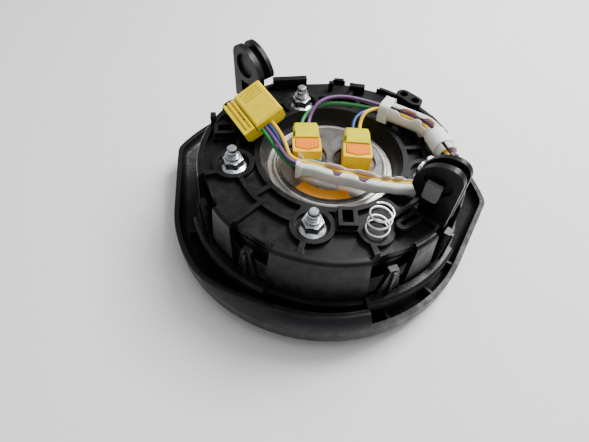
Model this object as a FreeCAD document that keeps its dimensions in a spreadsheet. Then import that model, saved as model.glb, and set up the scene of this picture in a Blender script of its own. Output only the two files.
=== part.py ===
"""Driver airbag module, lying on its cover face with the fastener side up.

Millimetres and degrees. Z points up, the origin is the middle of the cover's flat face,
and the inflator's axis is the Z axis. Azimuths are measured from +X towards +Y.
"""
import FreeCAD, Part
import math
import os
import Sketcher
from FreeCAD import Placement, Rotation, Vector

SIZES = [
    # moulded cover
    ("cover_low_radius", 91.5, "radius of the cover's lower edge"),
    ("cover_tip_x", 104.4, "sideways reach of the two corners"),
    ("cover_tip_y", 22.9, "how far above the axis the corners lie"),
    ("cover_top_radius", 107.5, "radius of the cover's upper edge"),
    ("cover_tip_round", 12, "rounding of the two corners"),
    ("cover_shift", -2.8, "middle of the cover's outline, from the inflator's axis"),
    ("cover_turn", 355.1, "turn of the cover's outline"),
    ("cover_rim_height", 21, "rim above the face"),
    ("cover_skin", 3, "wall of the cover"),
    ("cover_flat_radius", 33, "flat middle of the face"),
    ("cover_dome_radius", 205, "radius of the dome round the flat"),
    ("cover_edge_round", 6, "rounding between dome and side"),
    ("corner_reach", 1.035, "how far a corner moves in for each millimetre of wall"),
    ("cover_side_step", 6, "from the highest point of an outline to its rounded edge"),
    ("lip_height", 29.6, "top of the raised lip above the face"),
    ("lip_lean", 4.6, "how far the lip leans in"),
    ("lip_wall", 3, "wall of the lip"),
    ("lip_middle", 275, "azimuth of the middle of the lip"),
    ("lip_span", 33, "angle that the lip takes up"),
    ("skirt_radius", 79.7, "outside of the cover's inner wall"),
    ("skirt_wall", 3, "wall of the inner wall"),
    ("seam_height", 29.5, "seam between cover and housing"),
    ("hook_near", 28, "azimuth of the near hooks, either side of the middle"),
    ("hook_far", 58, "azimuth of the far hooks"),
    ("hook_back", 12, "azimuth of the back pair of hooks, from straight back"),
    ("hook_side", 15, "azimuth of the hook at the right side"),
    ("hook_band_angle", 14, "angle of the raised band under a hook"),
    ("hook_band_height", 33, "top of that band"),
    ("hook_foot_width", 13, "hook width at the band"),
    ("hook_top_width", 5, "hook width at the top"),
    ("hook_wall", 2.4, "hook wall"),
    ("hook_top", 53, "top of the hooks"),
    ("hook_radius", 75.4, "inner face of the hooks"),
    ("hook_rib_width", 1.8, "rib on a hook"),
    ("hook_rib_proud", 1.4, "rib on a hook"),
    ("hook_catch_reach", 2.4, "catch at the top of a hook"),
    ("hook_catch_height", 5, "catch at the top of a hook"),
    ("hook_catch_angle", 4, "catch at the top of a hook"),
    ("band_middle", 41.5, "azimuth of the two long bands, either side of the middle"),
    ("band_angle", 45, "angle of a long band"),
    ("band_proud", 2.8, "long band outside the inner wall"),
    ("band_drop", 10, "height of a long band"),
    ("band_gap", 0.2, "between a long band and the housing"),
    ("gusset_wall", 1.6, "walls across the trough"),
    ("gusset_height", 15, "top of those walls"),
    ("gusset_reach", 86.5, "radius at which they end"),
    # moulded housing
    ("floor_height", 58, "level on which the nuts sit"),
    ("plate_thickness", 4, "base plate of the housing"),
    ("rib_height", 3, "ribs above the floor"),
    ("opening_radius", 40.5, "opening for the inflator, at the face"),
    ("opening_low_radius", 36, "opening at the inflator's flange"),
    ("collar_depth", 3, "collar and bosses below the plate"),
    ("collar_wall", 3, "wall of the collar"),
    ("housing_radius", 75.5, "housing at the face"),
    ("housing_draft", 1.8, "how much wider it is at the seam"),
    ("housing_wall", 3, "outer wall of the housing"),
    ("housing_round", 2.4, "rounding of the outer edge"),
    ("drum_radius", 68.5, "outside of the drum round the air bag"),
    ("drum_wall", 2.5, "wall of the drum"),
    ("drum_foot", 34, "lower edge of the drum"),
    ("bead_radius", 70.5, "bead round the drum"),
    ("bead_level", 49.5, "underside of the bead"),
    ("bead_height", 2.5, "bead round the drum"),
    ("window_depth_start", 70.7, "inner face of the windows"),
    ("pocket_count", 12, "pockets in each ring"),
    ("inner_pocket_start", 43.5, "inner ring of pockets, inner radius"),
    ("inner_pocket_end", 52.5, "inner ring of pockets, outer radius"),
    ("outer_pocket_start", 55, "outer ring of pockets, inner radius"),
    ("outer_pocket_end", 71.5, "outer ring of pockets, outer radius"),
    ("inner_pocket_angle", 26.5, "angle of an inner pocket"),
    ("outer_pocket_angle", 27.5, "angle of an outer pocket"),
    ("window_width", 25, "window for a hook, at the face"),
    ("window_foot_width", 20.4, "the same at the seam"),
    # studs, nuts and bolt
    ("stud_radius", 3, "stud"),
    ("stud_tip_radius", 2.6, "stud end"),
    ("stud_length", 14, "stud above the floor"),
    ("stud_head_radius", 5.5, "stud head"),
    ("stud_head", 1.4, "stud head thickness"),
    ("stud_a_x", -52.9, "left stud"),
    ("stud_a_y", -16.5, "left stud"),
    ("stud_b_x", -22.2, "back stud"),
    ("stud_b_y", 43.9, "back stud"),
    ("stud_c_x", -5.5, "front stud"),
    ("stud_c_y", -53.1, "front stud"),
    ("stud_d_x", 52.8, "right stud"),
    ("stud_d_y", -7.9, "right stud"),
    ("bolt_x", -60.3, "flange bolt"),
    ("bolt_y", 30.7, "flange bolt"),
    ("fastener_gap", 0.1, "clearance in a bore"),
    ("nut_flange_radius", 7.1, "flange of a nut"),
    ("nut_flange", 1.2, "flange thickness"),
    ("nut_hex", 10, "across flats"),
    ("nut_hex_height", 5, "hexagon height"),
    ("nut_collar_radius", 4.3, "locking collar"),
    ("nut_collar", 2.2, "locking collar height"),
    ("nut_seat_radius", 8.9, "recess round a nut"),
    ("nut_boss_radius", 11.6, "raised ring round a nut"),
    ("bolt_boss_radius", 9.4, "raised ring round the bolt"),
    ("bolt_seat_radius", 7.5, "recess round the bolt"),
    ("bolt_shank", 6, "bolt shank below the floor"),
    ("stud_boss_radius", 7, "boss under the plate round a stud"),
    # inflator and retainer
    ("inflator_radius", 33.4, "can"),
    ("inflator_wall", 2, "wall of the can"),
    ("inflator_foot", 18, "inner end of the can"),
    ("inflator_rim", 53, "rolled rim"),
    ("closure_top", 54.5, "back of the inflator"),
    ("closure_thickness", 4.5, "closure"),
    ("closure_flat_radius", 30.4, "flat part of the closure"),
    ("flange_radius", 61, "mounting flange"),
    ("flange_thickness", 2, "mounting flange"),
    ("gas_hole_radius", 2.4, "gas outlets"),
    ("gas_hole_height", 34, "height of the gas outlets"),
    ("gas_hole_count", 16, "gas outlets"),
    ("ring_thickness", 2, "retainer ring"),
    ("ring_bore", 36.5, "retainer ring"),
    ("ring_radius", 60, "retainer ring"),
    ("bag_foot", 6.6, "front of the folded air bag"),
    ("bag_gap", 0.4, "clearance round the air bag"),
    ("bag_mouth", 1, "cloth clamped at the mouth"),
    ("bag_top_round", 5, "rounding of the pack"),
    # igniters and their plugs
    ("port_left_x", -14.8, "left igniter"),
    ("port_right_x", 13.7, "right igniter"),
    ("port_y", 2, "both igniters"),
    ("port_left_turn", 9, "turn of the left plug"),
    ("port_right_turn", 3.5, "turn of the right plug"),
    ("port_recess_radius", 12.6, "dished ring round an igniter"),
    ("port_recess", 1.6, "depth of that ring"),
    ("igniter_radius", 7.5, "igniter socket"),
    ("igniter_bore", 5.2, "igniter socket"),
    ("igniter_top", 56.5, "socket's upper edge"),
    ("igniter_foot", 46, "socket's lower end"),
    ("pin_radius", 0.5, "igniter pins"),
    ("plug_width", 15.8, "squib plug"),
    ("plug_front", 11, "front block ahead of the igniter's axis"),
    ("plug_top", 68, "top of the front block"),
    ("plug_spigot_gap", 0.3, "clearance of the spigot in its socket"),
    ("plug_spigot", 3.5, "spigot length"),
    ("cap_length", 13, "rear cap"),
    ("cap_top", 69, "top of the rear cap"),
    ("cap_foot", 58.5, "underside of the rear cap"),
    ("cap_rear_width", 13, "rear cap at its end"),
    ("cap_taper", 4, "length of the tapered end"),
    ("cap_bevel", 1, "bevel round the top of the cap"),
    ("cap_inset", 0.6, "cap narrower than the block, each side"),
    ("lock_width", 12.4, "orange lock"),
    ("lock_back", 0.9, "lock's rear edge ahead of the igniter's axis"),
    ("lock_length", 6.6, "straight length of the lock"),
    ("lock_point", 1.9, "point at the lock's front"),
    ("lock_height", 6.4, "lock"),
    ("lock_proud", 0.4, "lock above the block"),
    ("lock_gap", 0.3, "clearance round the lock"),
    ("key_width", 4.4, "coding key"),
    ("key_height", 5.4, "coding key"),
    ("key_depth", 3.2, "coding key"),
    # bare sticker
    ("sticker_inner", 23, "sticker"),
    ("sticker_margin", 0.8, "flat rim left outside the sticker"),
    ("sticker_thickness", 0.25, "sticker"),
    ("sticker_middle", 265, "azimuth of its middle"),
    ("sticker_span", 62, "angle that it takes up"),
    # towers
    ("tower_left_x", -53.9, "left tower"),
    ("tower_left_y", 47.9, "left tower"),
    ("tower_left_turn", 318.4, "direction of the left tower's width"),
    ("tower_right_x", 53.7, "right tower"),
    ("tower_right_y", -31.9, "right tower"),
    ("tower_right_turn", 329.3, "direction of the right tower's width"),
    ("tower_outer", 11, "outer edge of the column and the head"),
    ("tower_top", 93, "top of the head"),
    ("tower_shoulder", 7, "rounding of the head above the outer edge"),
    ("tower_left_nose", 14.5, "reach of the left head's nose"),
    ("tower_left_nose_level", 81, "level of the left head's nose"),
    ("tower_right_nose", 12, "reach of the right head's nose"),
    ("tower_right_nose_level", 77, "level of the right head's nose"),
    ("tower_nose_face", 2.5, "upright end of the nose"),
    ("tower_throat", 8, "drop of the nose's underside to the column"),
    ("tower_dish_level", 82, "middle of the shallow dish"),
    ("tower_slot_width", 8, "slot in the front of the column"),
    ("tower_slot_depth", 6, "slot in the front of the column"),
    ("tower_slot_foot", 6, "lower end of the slot above the floor"),
    ("tower_slot_top", 71, "upper end of the slot"),
    ("tower_depth", 11, "front to back"),
    ("tower_front_wall", 3.6, "front plate"),
    ("tower_back_wall", 3, "back plate"),
    ("tower_groove", 3.6, "depth of the groove round the head"),
    ("tower_dish", 7.4, "shallow dish in the front"),
    ("tower_dish_depth", 2, "shallow dish in the front"),
    ("tower_neck", 5, "inner edge of the column"),
    ("buttress_drop", 20, "buttress below the floor outside the wall"),
    ("spar_height", 4.4, "spar across the right tower"),
    ("spar_level", 75, "underside of the spar"),
    ("spar_end", 2.5, "outer end of the spar"),
    ("spar_proud", 0.6, "spar behind the front plate"),
    ("pad_width", 8, "rubber pad on the spar"),
    ("pad_height", 10.5, "rubber pad on the spar"),
    ("pad_thickness", 2.4, "rubber pad on the spar"),
    # guide sleeves
    ("sleeve_left_x", -62.8, "left guide sleeve"),
    ("sleeve_left_y", 7.4, "left guide sleeve"),
    ("sleeve_left_turn", 13, "left guide sleeve"),
    ("sleeve_front_x", 11.2, "front guide sleeve"),
    ("sleeve_front_y", -47.6, "front guide sleeve"),
    ("sleeve_front_turn", 97, "front guide sleeve"),
    ("sleeve_length", 12, "collar of a sleeve"),
    ("sleeve_width", 9.6, "collar of a sleeve"),
    ("sleeve_wall", 2.1, "wall of the collar"),
    ("sleeve_shank_inset", 0.9, "step from collar to shank"),
    ("sleeve_top", 3.4, "collar above the face"),
    ("sleeve_sink", 4, "shank below the face"),
    ("sleeve_fit", 0.15, "clearance of the shank"),
    # horn spring
    ("spring_x", 26, "horn spring"),
    ("spring_y", -51.8, "horn spring"),
    ("spring_radius", 5.8, "to the middle of the wire"),
    ("spring_wire", 0.55, "radius of the wire"),
    ("spring_pitch", 4.2, "rise of one turn"),
    ("spring_close", 0.11, "how far the end turns close up"),
    ("spring_height", 14, "free height to the middle of the wire"),
    ("spring_cone", 1.5, "taper of the spring"),
    ("spring_boss", 9.2, "flat boss under the spring"),
    # wiring harness
    ("wire_radius", 1.1, "insulated wire"),
    ("channel_width", 7.2, "wire channel"),
    ("channel_wall", 0.8, "wire channel"),
    ("channel_height", 6.6, "wire channel"),
    ("channel_end_height", 8, "raised left end"),
    ("wire_pitch", 2.3, "from one wire to the next in the bundle"),
    ("bundle_level", 64.05, "middle of the bundle in the channel"),
    ("tube_radius", 5.6, "harness tube"),
    ("tube_wall", 0.8, "harness tube"),
    ("tube_rise", 6.5, "tube's middle above the face"),
    ("tube_bend", 18, "radius of its bend"),
    ("clip_wall", 0.9, "clip round the tube"),
    ("clip_length", 9.5, "clip along the tube"),
    ("wrap_thickness", 0.4, "bare white sleeve round the tube"),
    ("wrap_length", 11.5, "bare white sleeve"),
    ("wrap_setback", 5, "from the tube's end to the sleeve"),
    ("foot_plate", 0.8, "plate under the tube's end"),
    # main plug
    ("main_x", -48, "middle of the main plug's top"),
    ("main_y", 14.15, "middle of the main plug's top"),
    ("main_z", 75.9, "middle of the main plug's top"),
    ("main_yaw", 130.1, "direction of its mating end"),
    ("main_pitch", -5.2, "tilt along its length"),
    ("main_roll", -23.1, "tilt across its width"),
    ("main_length", 26.2, "main plug"),
    ("main_width", 26, "main plug"),
    ("main_height", 9.3, "main plug"),
    ("main_cover_height", 3.2, "upper shell of the main plug"),
    ("main_cover_width", 18, "upper shell of the main plug"),
    ("main_rail_width", 7.2, "side rail of the main plug"),
    ("main_shelf", 3, "base under the rail"),
    ("main_bevel", 2.2, "bevel along the underside"),
    ("main_gap", 0.8, "gap between shell and rail"),
    ("pin_pitch", 3.6, "contacts of the main plug"),
    ("rail_drop", 0.6, "rail below the top of the shell"),
    ("rail_groove", 1.4, "grooves along the rail"),
]

doc = FreeCAD.newDocument("driver_airbag_module")
sheet = doc.addObject("Spreadsheet::Sheet", "Sizes")
for line, (alias, number, meaning) in enumerate(SIZES, 1):
    sheet.set(f"A{line}", alias)
    sheet.set(f"B{line}", str(number))
    sheet.set(f"C{line}", meaning)
    sheet.setAlias(f"B{line}", alias)
doc.recompute()

FACE = "(Sizes.floor_height + Sizes.rib_height)"
UNDER = "(Sizes.floor_height - Sizes.plate_thickness)"
COLLAR = f"({UNDER} - Sizes.collar_depth)"
FLANGE_LOW = f"({COLLAR} - Sizes.flange_thickness)"
RING_TOP = f"({FLANGE_LOW} - Sizes.bag_mouth)"
RING_LOW = f"({RING_TOP} - Sizes.ring_thickness)"
TUBE_LEVEL = f"({FACE} + Sizes.tube_rise)"
HOUSING_FOOT = "(Sizes.housing_radius + Sizes.housing_draft)"
STUDS = ["stud_a", "stud_b", "stud_c", "stud_d"]
HOOKS = [
    "270 - Sizes.hook_far", "270 - Sizes.hook_near", "270 + Sizes.hook_near", "270 + Sizes.hook_far",
    "Sizes.hook_side", "90 - Sizes.hook_back", "90 + Sizes.hook_back",
]
GUSSETS = ["203", "241", "299", "320", "337"]
parts_made = []


def value(rule):
    """The number that a rule on the sheet's sizes gives."""
    return float(sheet.evalExpression(str(rule).replace("Sizes.", "")))


def bind(thing, rules):
    for name, rule in rules.items():
        thing.setExpression(name, str(rule))


def keep(thing, name):
    """Marks a finished sub-part and gives it its name."""
    thing.Label = name
    parts_made.append(thing)
    return thing


def new_body(name):
    body = doc.addObject("PartDesign::Body", name)
    body.Label = name + "_body"
    return body


def origin_plane(body, role):
    return next(item for item in body.Origin.OriginFeatures if item.Role == role)


def place(thing, x="0", y="0", z="0", turn="0"):
    """Puts a sub-part at a point, turned about the vertical."""
    thing.setExpression("Placement", f"placement(vector({x}; {y}; {z}); rotation({turn}; 0; 0))")


def blank_sketch(body, name, role):
    sketch = body.newObject("Sketcher::SketchObject", name)
    sketch.AttachmentSupport = [(origin_plane(body, role), "")]
    sketch.MapMode = "FlatFace"
    return sketch


def draw(sketch, corners, arcs=None):
    """Draws a closed outline through corners; arcs gives a side's radius and the side of its centre."""
    arcs = arcs or {}
    count = len(corners)
    points = [Vector(value(x), value(y), 0) for x, y in corners]
    first = sketch.GeometryCount
    ends = []
    for index, start in enumerate(points):
        stop = points[(index + 1) % count]
        if index not in arcs:
            sketch.addGeometry(Part.LineSegment(start, stop))
            ends.append((1, 2))
            continue
        radius = value(arcs[index][0])
        side = arcs[index][1]
        half = (stop - start) * 0.5
        rise = math.sqrt(max(radius ** 2 - half.Length ** 2, 0.0))
        left = Vector(-half.y, half.x, 0).normalize()
        centre = start + half + left * rise * side
        begin, end = (start, stop) if side > 0 else (stop, start)
        angles = [math.atan2(point.y - centre.y, point.x - centre.x) for point in (begin, end)]
        circle = Part.Circle(centre, Vector(0, 0, 1), radius)
        sketch.addGeometry(Part.ArcOfCircle(circle, angles[0], angles[1]))
        ends.append((1, 2) if side > 0 else (2, 1))
    for index in range(count):
        following = (index + 1) % count
        sketch.addConstraint(Sketcher.Constraint(
            "Coincident", first + index, ends[index][1], first + following, ends[following][0]))
    for index, (x, y) in enumerate(corners):
        for kind, rule, number in (("DistanceX", x, points[index].x), ("DistanceY", y, points[index].y)):
            spot = sketch.addConstraint(Sketcher.Constraint(
                kind, -1, 1, first + index, ends[index][0], number))
            sketch.setExpression(f"Constraints[{spot}]", str(rule))
    for index, (radius, side) in arcs.items():
        spot = sketch.addConstraint(Sketcher.Constraint("Radius", first + index, value(radius)))
        sketch.setExpression(f"Constraints[{spot}]", str(radius))


def draw_circles(sketch, circles):
    for x, y, radius in circles:
        centre = Vector(value(x), value(y), 0)
        index = sketch.addGeometry(Part.Circle(centre, Vector(0, 0, 1), value(radius)))
        for kind, rule, number in (("DistanceX", x, centre.x), ("DistanceY", y, centre.y)):
            spot = sketch.addConstraint(Sketcher.Constraint(kind, -1, 1, index, 3, number))
            sketch.setExpression(f"Constraints[{spot}]", str(rule))
        spot = sketch.addConstraint(Sketcher.Constraint("Radius", index, value(radius)))
        sketch.setExpression(f"Constraints[{spot}]", str(radius))


def flat_sketch(body, name, corners=None, level="0", arcs=None, circles=None):
    """A sketch that lies level at a height."""
    sketch = blank_sketch(body, name, "XY_Plane")
    bind(sketch, {"AttachmentOffset.Base.z": level})
    if corners:
        draw(sketch, corners, arcs)
    if circles:
        draw_circles(sketch, circles)
    return sketch


def upright_sketch(body, name, corners=None, azimuth=None, back="0", arcs=None, circles=None):
    """A sketch through the Z axis: across is the radius along the azimuth, up is Z."""
    sketch = blank_sketch(body, name, "XZ_Plane")
    if azimuth is not None:
        turn = Rotation(Vector(0, 1, 0), value(azimuth) or 360)
        sketch.AttachmentOffset = Placement(Vector(0, 0, 0), turn)
        bind(sketch, {"AttachmentOffset.Rotation.Angle": azimuth})
    else:
        bind(sketch, {"AttachmentOffset.Base.z": f"-({back})"})
    if corners:
        draw(sketch, corners, arcs)
    if circles:
        draw_circles(sketch, circles)
    return sketch


def facing_sketch(body, name, corners, azimuth, distance):
    """A sketch that faces outward along an azimuth, at a distance from the Z axis."""
    sketch = blank_sketch(body, name, "YZ_Plane")
    sketch.AttachmentOffset = Placement(Vector(0, 0, 0), Rotation(Vector(0, 1, 0), value(azimuth)))
    bind(sketch, {
        "AttachmentOffset.Base.x": f"({distance}) * sin({azimuth})",
        "AttachmentOffset.Base.z": f"({distance}) * cos({azimuth})",
        "AttachmentOffset.Rotation.Angle": azimuth,
    })
    draw(sketch, corners)
    return sketch


def extrude(body, kind, sketch, length, backward=False):
    feature = body.newObject("PartDesign::" + kind, sketch.Name + "_" + kind.lower())
    feature.Profile = sketch
    feature.Reversed = backward
    bind(feature, {"Length": length})
    return feature


def pad(body, sketch, length, backward=False):
    return extrude(body, "Pad", sketch, length, backward)


def pocket(body, sketch, length, forward=False):
    return extrude(body, "Pocket", sketch, length, forward)


def turned(body, kind, sketch, angle="360"):
    feature = body.newObject("PartDesign::" + kind, sketch.Name + "_" + kind.lower())
    feature.Profile = sketch
    feature.ReferenceAxis = (sketch, ["V_Axis"])
    feature.Midplane = True
    bind(feature, {"Angle": angle})
    return feature


def pattern_round(body, feature, count):
    copies = body.newObject("PartDesign::PolarPattern", feature.Name + "_round")
    copies.Originals = [feature]
    copies.Axis = (origin_plane(body, "Z_Axis"), [""])
    copies.Angle = 360
    bind(copies, {"Occurrences": count})
    body.Tip = copies
    return copies


def soften(body, kind, radius, near):
    """Rounds or bevels the edges of the body that pass nearest to some points."""
    doc.recompute()
    base = body.Tip
    edges = base.Shape.Edges
    names = []
    for rules in near:
        spot = Part.Vertex(Vector(*[value(rule) for rule in rules]))
        gaps = [spot.distToShape(edge)[0] for edge in edges]
        name = f"Edge{gaps.index(min(gaps)) + 1}"
        if name not in names:
            names.append(name)
    feature = body.newObject("PartDesign::" + kind, f"{base.Name}_{kind.lower()}")
    feature.Base = (base, names)
    bind(feature, {"Radius" if kind == "Fillet" else "Size": radius})
    return feature


def rectangle(x, y, length, width, turn="0"):
    """Corners of a rectangle round a point, its length turned from +X."""
    corners = []
    for along, across in ((-0.5, -0.5), (0.5, -0.5), (0.5, 0.5), (-0.5, 0.5)):
        corners.append((
            f"{x} + {along} * ({length}) * cos({turn}) - ({across}) * ({width}) * sin({turn})",
            f"{y} + {along} * ({length}) * sin({turn}) + ({across}) * ({width}) * cos({turn})",
        ))
    return corners


def block(x0, x1, y0, y1):
    return [(x0, y0), (x1, y0), (x1, y1), (x0, y1)]


def join(name, pieces):
    whole = doc.addObject("Part::MultiFuse", name)
    whole.Shapes = pieces
    return whole


# moulded cover
def on_cover(x, y, z):
    """A point of the cover's own outline, turned and shifted to where the outline lies."""
    turn = "Sizes.cover_turn"
    return (f"Sizes.cover_shift + ({x}) * cos({turn}) - ({y}) * sin({turn})",
            f"({x}) * sin({turn}) + ({y}) * cos({turn})", z)


def dome_rise(radius):
    """How far the dome has risen at a distance from the Z axis."""
    run = f"({radius} - Sizes.cover_flat_radius)"
    return f"(Sizes.cover_dome_radius - sqrt(Sizes.cover_dome_radius ^ 2 - {run} ^ 2))"


def dished_outline(name, inset, level, top):
    """The cover's outline padded to a height, its lower side turned to the dome and rounded."""
    body = new_body(name)
    low = f"(Sizes.cover_low_radius - {inset})"
    high = f"(Sizes.cover_top_radius - {inset})"
    tip_x = f"(Sizes.cover_tip_x - Sizes.corner_reach * {inset})"
    radius, top_radius, x, y = (value(rule) for rule in (low, high, tip_x, "Sizes.cover_tip_y"))
    reach = math.hypot(x, y)
    touch = math.atan2(y, x) - math.acos(radius / reach)
    centre_y = y - math.sqrt(top_radius ** 2 - x ** 2)
    lift = math.atan2(y - centre_y, x)
    right = Vector(radius * math.cos(touch), radius * math.sin(touch), 0)
    left = Vector(-right.x, right.y, 0)
    up = Vector(0, 0, 1)
    sketch = blank_sketch(body, name + "_outline", "XY_Plane")
    sketch.AttachmentOffset = Placement(Vector(), Rotation(up, value("Sizes.cover_turn")))
    bind(sketch, {
        "AttachmentOffset.Base.x": "Sizes.cover_shift",
        "AttachmentOffset.Base.z": level,
        "AttachmentOffset.Rotation.Angle": "Sizes.cover_turn",
    })
    sketch.addGeometry(Part.ArcOfCircle(Part.Circle(Vector(), up, radius), math.pi - touch, math.tau + touch))
    sketch.addGeometry(Part.LineSegment(right, Vector(x, y, 0)))
    sketch.addGeometry(Part.ArcOfCircle(
        Part.Circle(Vector(0, centre_y, 0), up, top_radius), lift, math.pi - lift))
    sketch.addGeometry(Part.LineSegment(Vector(-x, y, 0), left))
    for first, end, second, start, kind in (
            (0, 2, 1, 1, "Tangent"), (1, 2, 2, 1, "Coincident"),
            (2, 2, 3, 1, "Coincident"), (3, 2, 0, 1, "Tangent")):
        sketch.addConstraint(Sketcher.Constraint(kind, first, end, second, start))
    sketch.addConstraint(Sketcher.Constraint("Coincident", 0, 3, -1, 1))
    rules = [("Radius", (0,), low, radius), ("Radius", (2,), high, top_radius)]
    for line, end, sign in ((1, 2, 1), (3, 1, -1)):
        rules.append(("DistanceX", (-1, 1, line, end), f"{sign} * {tip_x}", sign * x))
        rules.append(("DistanceY", (-1, 1, line, end), "Sizes.cover_tip_y", y))
    for kind, where, rule, number in rules:
        spot = sketch.addConstraint(Sketcher.Constraint(kind, *where, number))
        sketch.setExpression(f"Constraints[{spot}]", rule)
    pad(body, sketch, f"{top} - {level}")
    soften(body, "Fillet", "Sizes.cover_tip_round", [
        on_cover(f"{sign} * {tip_x}", "Sizes.cover_tip_y", f"({top} + {level}) / 2") for sign in (1, -1)])
    edge = "(Sizes.cover_tip_x + 20)"
    under = upright_sketch(body, name + "_under", [
        ("Sizes.cover_flat_radius", level), (edge, f"{level} + {dome_rise(edge)}"),
        (edge, f"{level} - 1"), ("Sizes.cover_flat_radius", f"{level} - 1"),
    ], arcs={0: ("Sizes.cover_dome_radius", 1)})
    turned(body, "Groove", under)
    low_rise = f"{level} + {dome_rise(low)}"
    back = f"({high} - Sizes.cover_side_step)"
    side = f"({tip_x} - Sizes.cover_side_step)"
    soften(body, "Fillet", f"Sizes.cover_edge_round - {inset} / 2", [
        on_cover("0", f"-{low}", low_rise), on_cover("0", back, f"{level} + {dome_rise(back)}"),
        on_cover(side, "0", low_rise), on_cover(f"-{side}", "0", low_rise)])
    return body


def build_hook(walls, number, azimuth):
    """A tongue with a rib outside and a catch inside, standing on the inner wall."""
    tongue = facing_sketch(walls, f"hook_{number}", [
        ("-Sizes.hook_foot_width / 2", "Sizes.seam_height - 2"),
        ("Sizes.hook_foot_width / 2", "Sizes.seam_height - 2"),
        ("Sizes.hook_foot_width / 2", "Sizes.hook_band_height"),
        ("Sizes.hook_top_width / 2", "Sizes.hook_top"),
        ("-Sizes.hook_top_width / 2", "Sizes.hook_top"),
        ("-Sizes.hook_foot_width / 2", "Sizes.hook_band_height"),
    ], azimuth, "Sizes.hook_radius")
    pad(walls, tongue, "Sizes.hook_wall")
    rib = facing_sketch(walls, f"hook_rib_{number}", block(
        "-Sizes.hook_rib_width / 2", "Sizes.hook_rib_width / 2", "Sizes.hook_band_height - 3",
        "Sizes.hook_top - 1"), azimuth, "Sizes.hook_radius + Sizes.hook_wall - 0.5")
    pad(walls, rib, "Sizes.hook_rib_proud + 0.5")
    inside = "(Sizes.hook_radius - Sizes.hook_catch_reach)"
    catch = upright_sketch(walls, f"hook_catch_{number}", [
        ("Sizes.hook_radius + 0.5", "Sizes.hook_top - Sizes.hook_catch_height"),
        ("Sizes.hook_radius + 0.5", "Sizes.hook_top"),
        ("Sizes.hook_radius - 1", "Sizes.hook_top"),
        (inside, "Sizes.hook_top - 0.7 * Sizes.hook_catch_height"),
        (inside, "Sizes.hook_top - Sizes.hook_catch_height"),
    ], azimuth)
    turned(walls, "Revolution", catch, "Sizes.hook_catch_angle")


def build_cover():
    outside = dished_outline("cover_outside", "0", "0", "Sizes.cover_rim_height")
    inside = dished_outline(
        "cover_inside", "Sizes.cover_skin", "Sizes.cover_skin", "(Sizes.cover_rim_height + 5)")
    skin = doc.addObject("Part::Cut", "cover_skin_shell")
    skin.Base = outside
    skin.Tool = inside
    walls = new_body("cover_walls")
    foot = f"({dome_rise('Sizes.skirt_radius')} + Sizes.cover_skin / 2)"
    inner = "(Sizes.skirt_radius - Sizes.skirt_wall)"
    ring = upright_sketch(walls, "skirt", block(inner, "Sizes.skirt_radius", foot, "Sizes.seam_height"))
    turned(walls, "Revolution", ring)
    reach = "Sizes.gusset_reach"
    for number, azimuth in enumerate(GUSSETS, 1):
        gusset = upright_sketch(walls, f"gusset_{number}", [
            ("Sizes.skirt_radius - 1", foot), (reach, f"{dome_rise(reach)} + Sizes.cover_skin / 2"),
            (reach, "Sizes.gusset_height"), ("Sizes.skirt_radius - 1", "Sizes.gusset_height"),
        ], azimuth)
        wall = pad(walls, gusset, "Sizes.gusset_wall")
        wall.Midplane = True
    proud = "(Sizes.skirt_radius + Sizes.band_proud)"
    for number, azimuth in enumerate(("270 - Sizes.band_middle", "270 + Sizes.band_middle"), 1):
        band = upright_sketch(walls, f"long_band_{number}", [
            (inner, "Sizes.hook_band_height - Sizes.band_drop"),
            ("Sizes.skirt_radius", "Sizes.hook_band_height - Sizes.band_drop"),
            (proud, "Sizes.hook_band_height - Sizes.band_drop + Sizes.band_proud"),
            (proud, "Sizes.hook_band_height - Sizes.band_proud / 2"),
            (f"{proud} - Sizes.band_proud / 2", "Sizes.hook_band_height"),
            (f"{HOUSING_FOOT} + Sizes.band_gap", "Sizes.hook_band_height"),
            (f"{HOUSING_FOOT} + Sizes.band_gap", "Sizes.seam_height"), (inner, "Sizes.seam_height"),
        ], azimuth)
        turned(walls, "Revolution", band, "Sizes.band_angle")
    for number, azimuth in enumerate(HOOKS, 1):
        band = upright_sketch(walls, f"hook_band_{number}", block(
            inner, "Sizes.skirt_radius", "Sizes.seam_height - 3", "Sizes.hook_band_height"), azimuth)
        turned(walls, "Revolution", band, "Sizes.hook_band_angle")
        build_hook(walls, number, azimuth)
    lip_body = new_body("cover_lip")
    lip_rise = "(Sizes.lip_height - Sizes.cover_rim_height)"
    lean = upright_sketch(lip_body, "lip_section", [
        ("Sizes.cover_low_radius - Sizes.lip_wall", "Sizes.cover_rim_height - 3"),
        ("Sizes.cover_low_radius", "Sizes.cover_rim_height - 3"),
        ("Sizes.cover_low_radius", "Sizes.cover_rim_height"),
        ("Sizes.cover_low_radius - Sizes.lip_lean", "Sizes.lip_height"),
        ("Sizes.cover_low_radius - Sizes.lip_lean - Sizes.lip_wall", "Sizes.lip_height"),
    ], "Sizes.lip_middle", arcs={2: (f"({lip_rise} ^ 2 + Sizes.lip_lean ^ 2) / (2 * Sizes.lip_lean)", 1)})
    turned(lip_body, "Revolution", lean, "Sizes.lip_span")
    place(lip_body, "Sizes.cover_shift")
    return keep(join("cover", [skin, walls, lip_body]), "cover")


# moulded housing
def stadium(name, x, y, turn, length, width, low, high):
    """A round-ended boss, its length turned from +X."""
    body = new_body(name)
    reach = f"(({length}) - ({width})) / 2"
    bar = flat_sketch(body, name + "_bar", rectangle("0", "0", f"2 * {reach}", width), low)
    pad(body, bar, f"{high} - ({low})")
    for end in (-1, 1):
        round_end = flat_sketch(body, f"{name}_end_{end + 2}", level=low, circles=[
            (f"{end} * {reach}", "0", f"({width}) / 2")])
        pad(body, round_end, f"{high} - ({low})")
    place(body, x, y, "0", turn)
    return body


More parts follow.
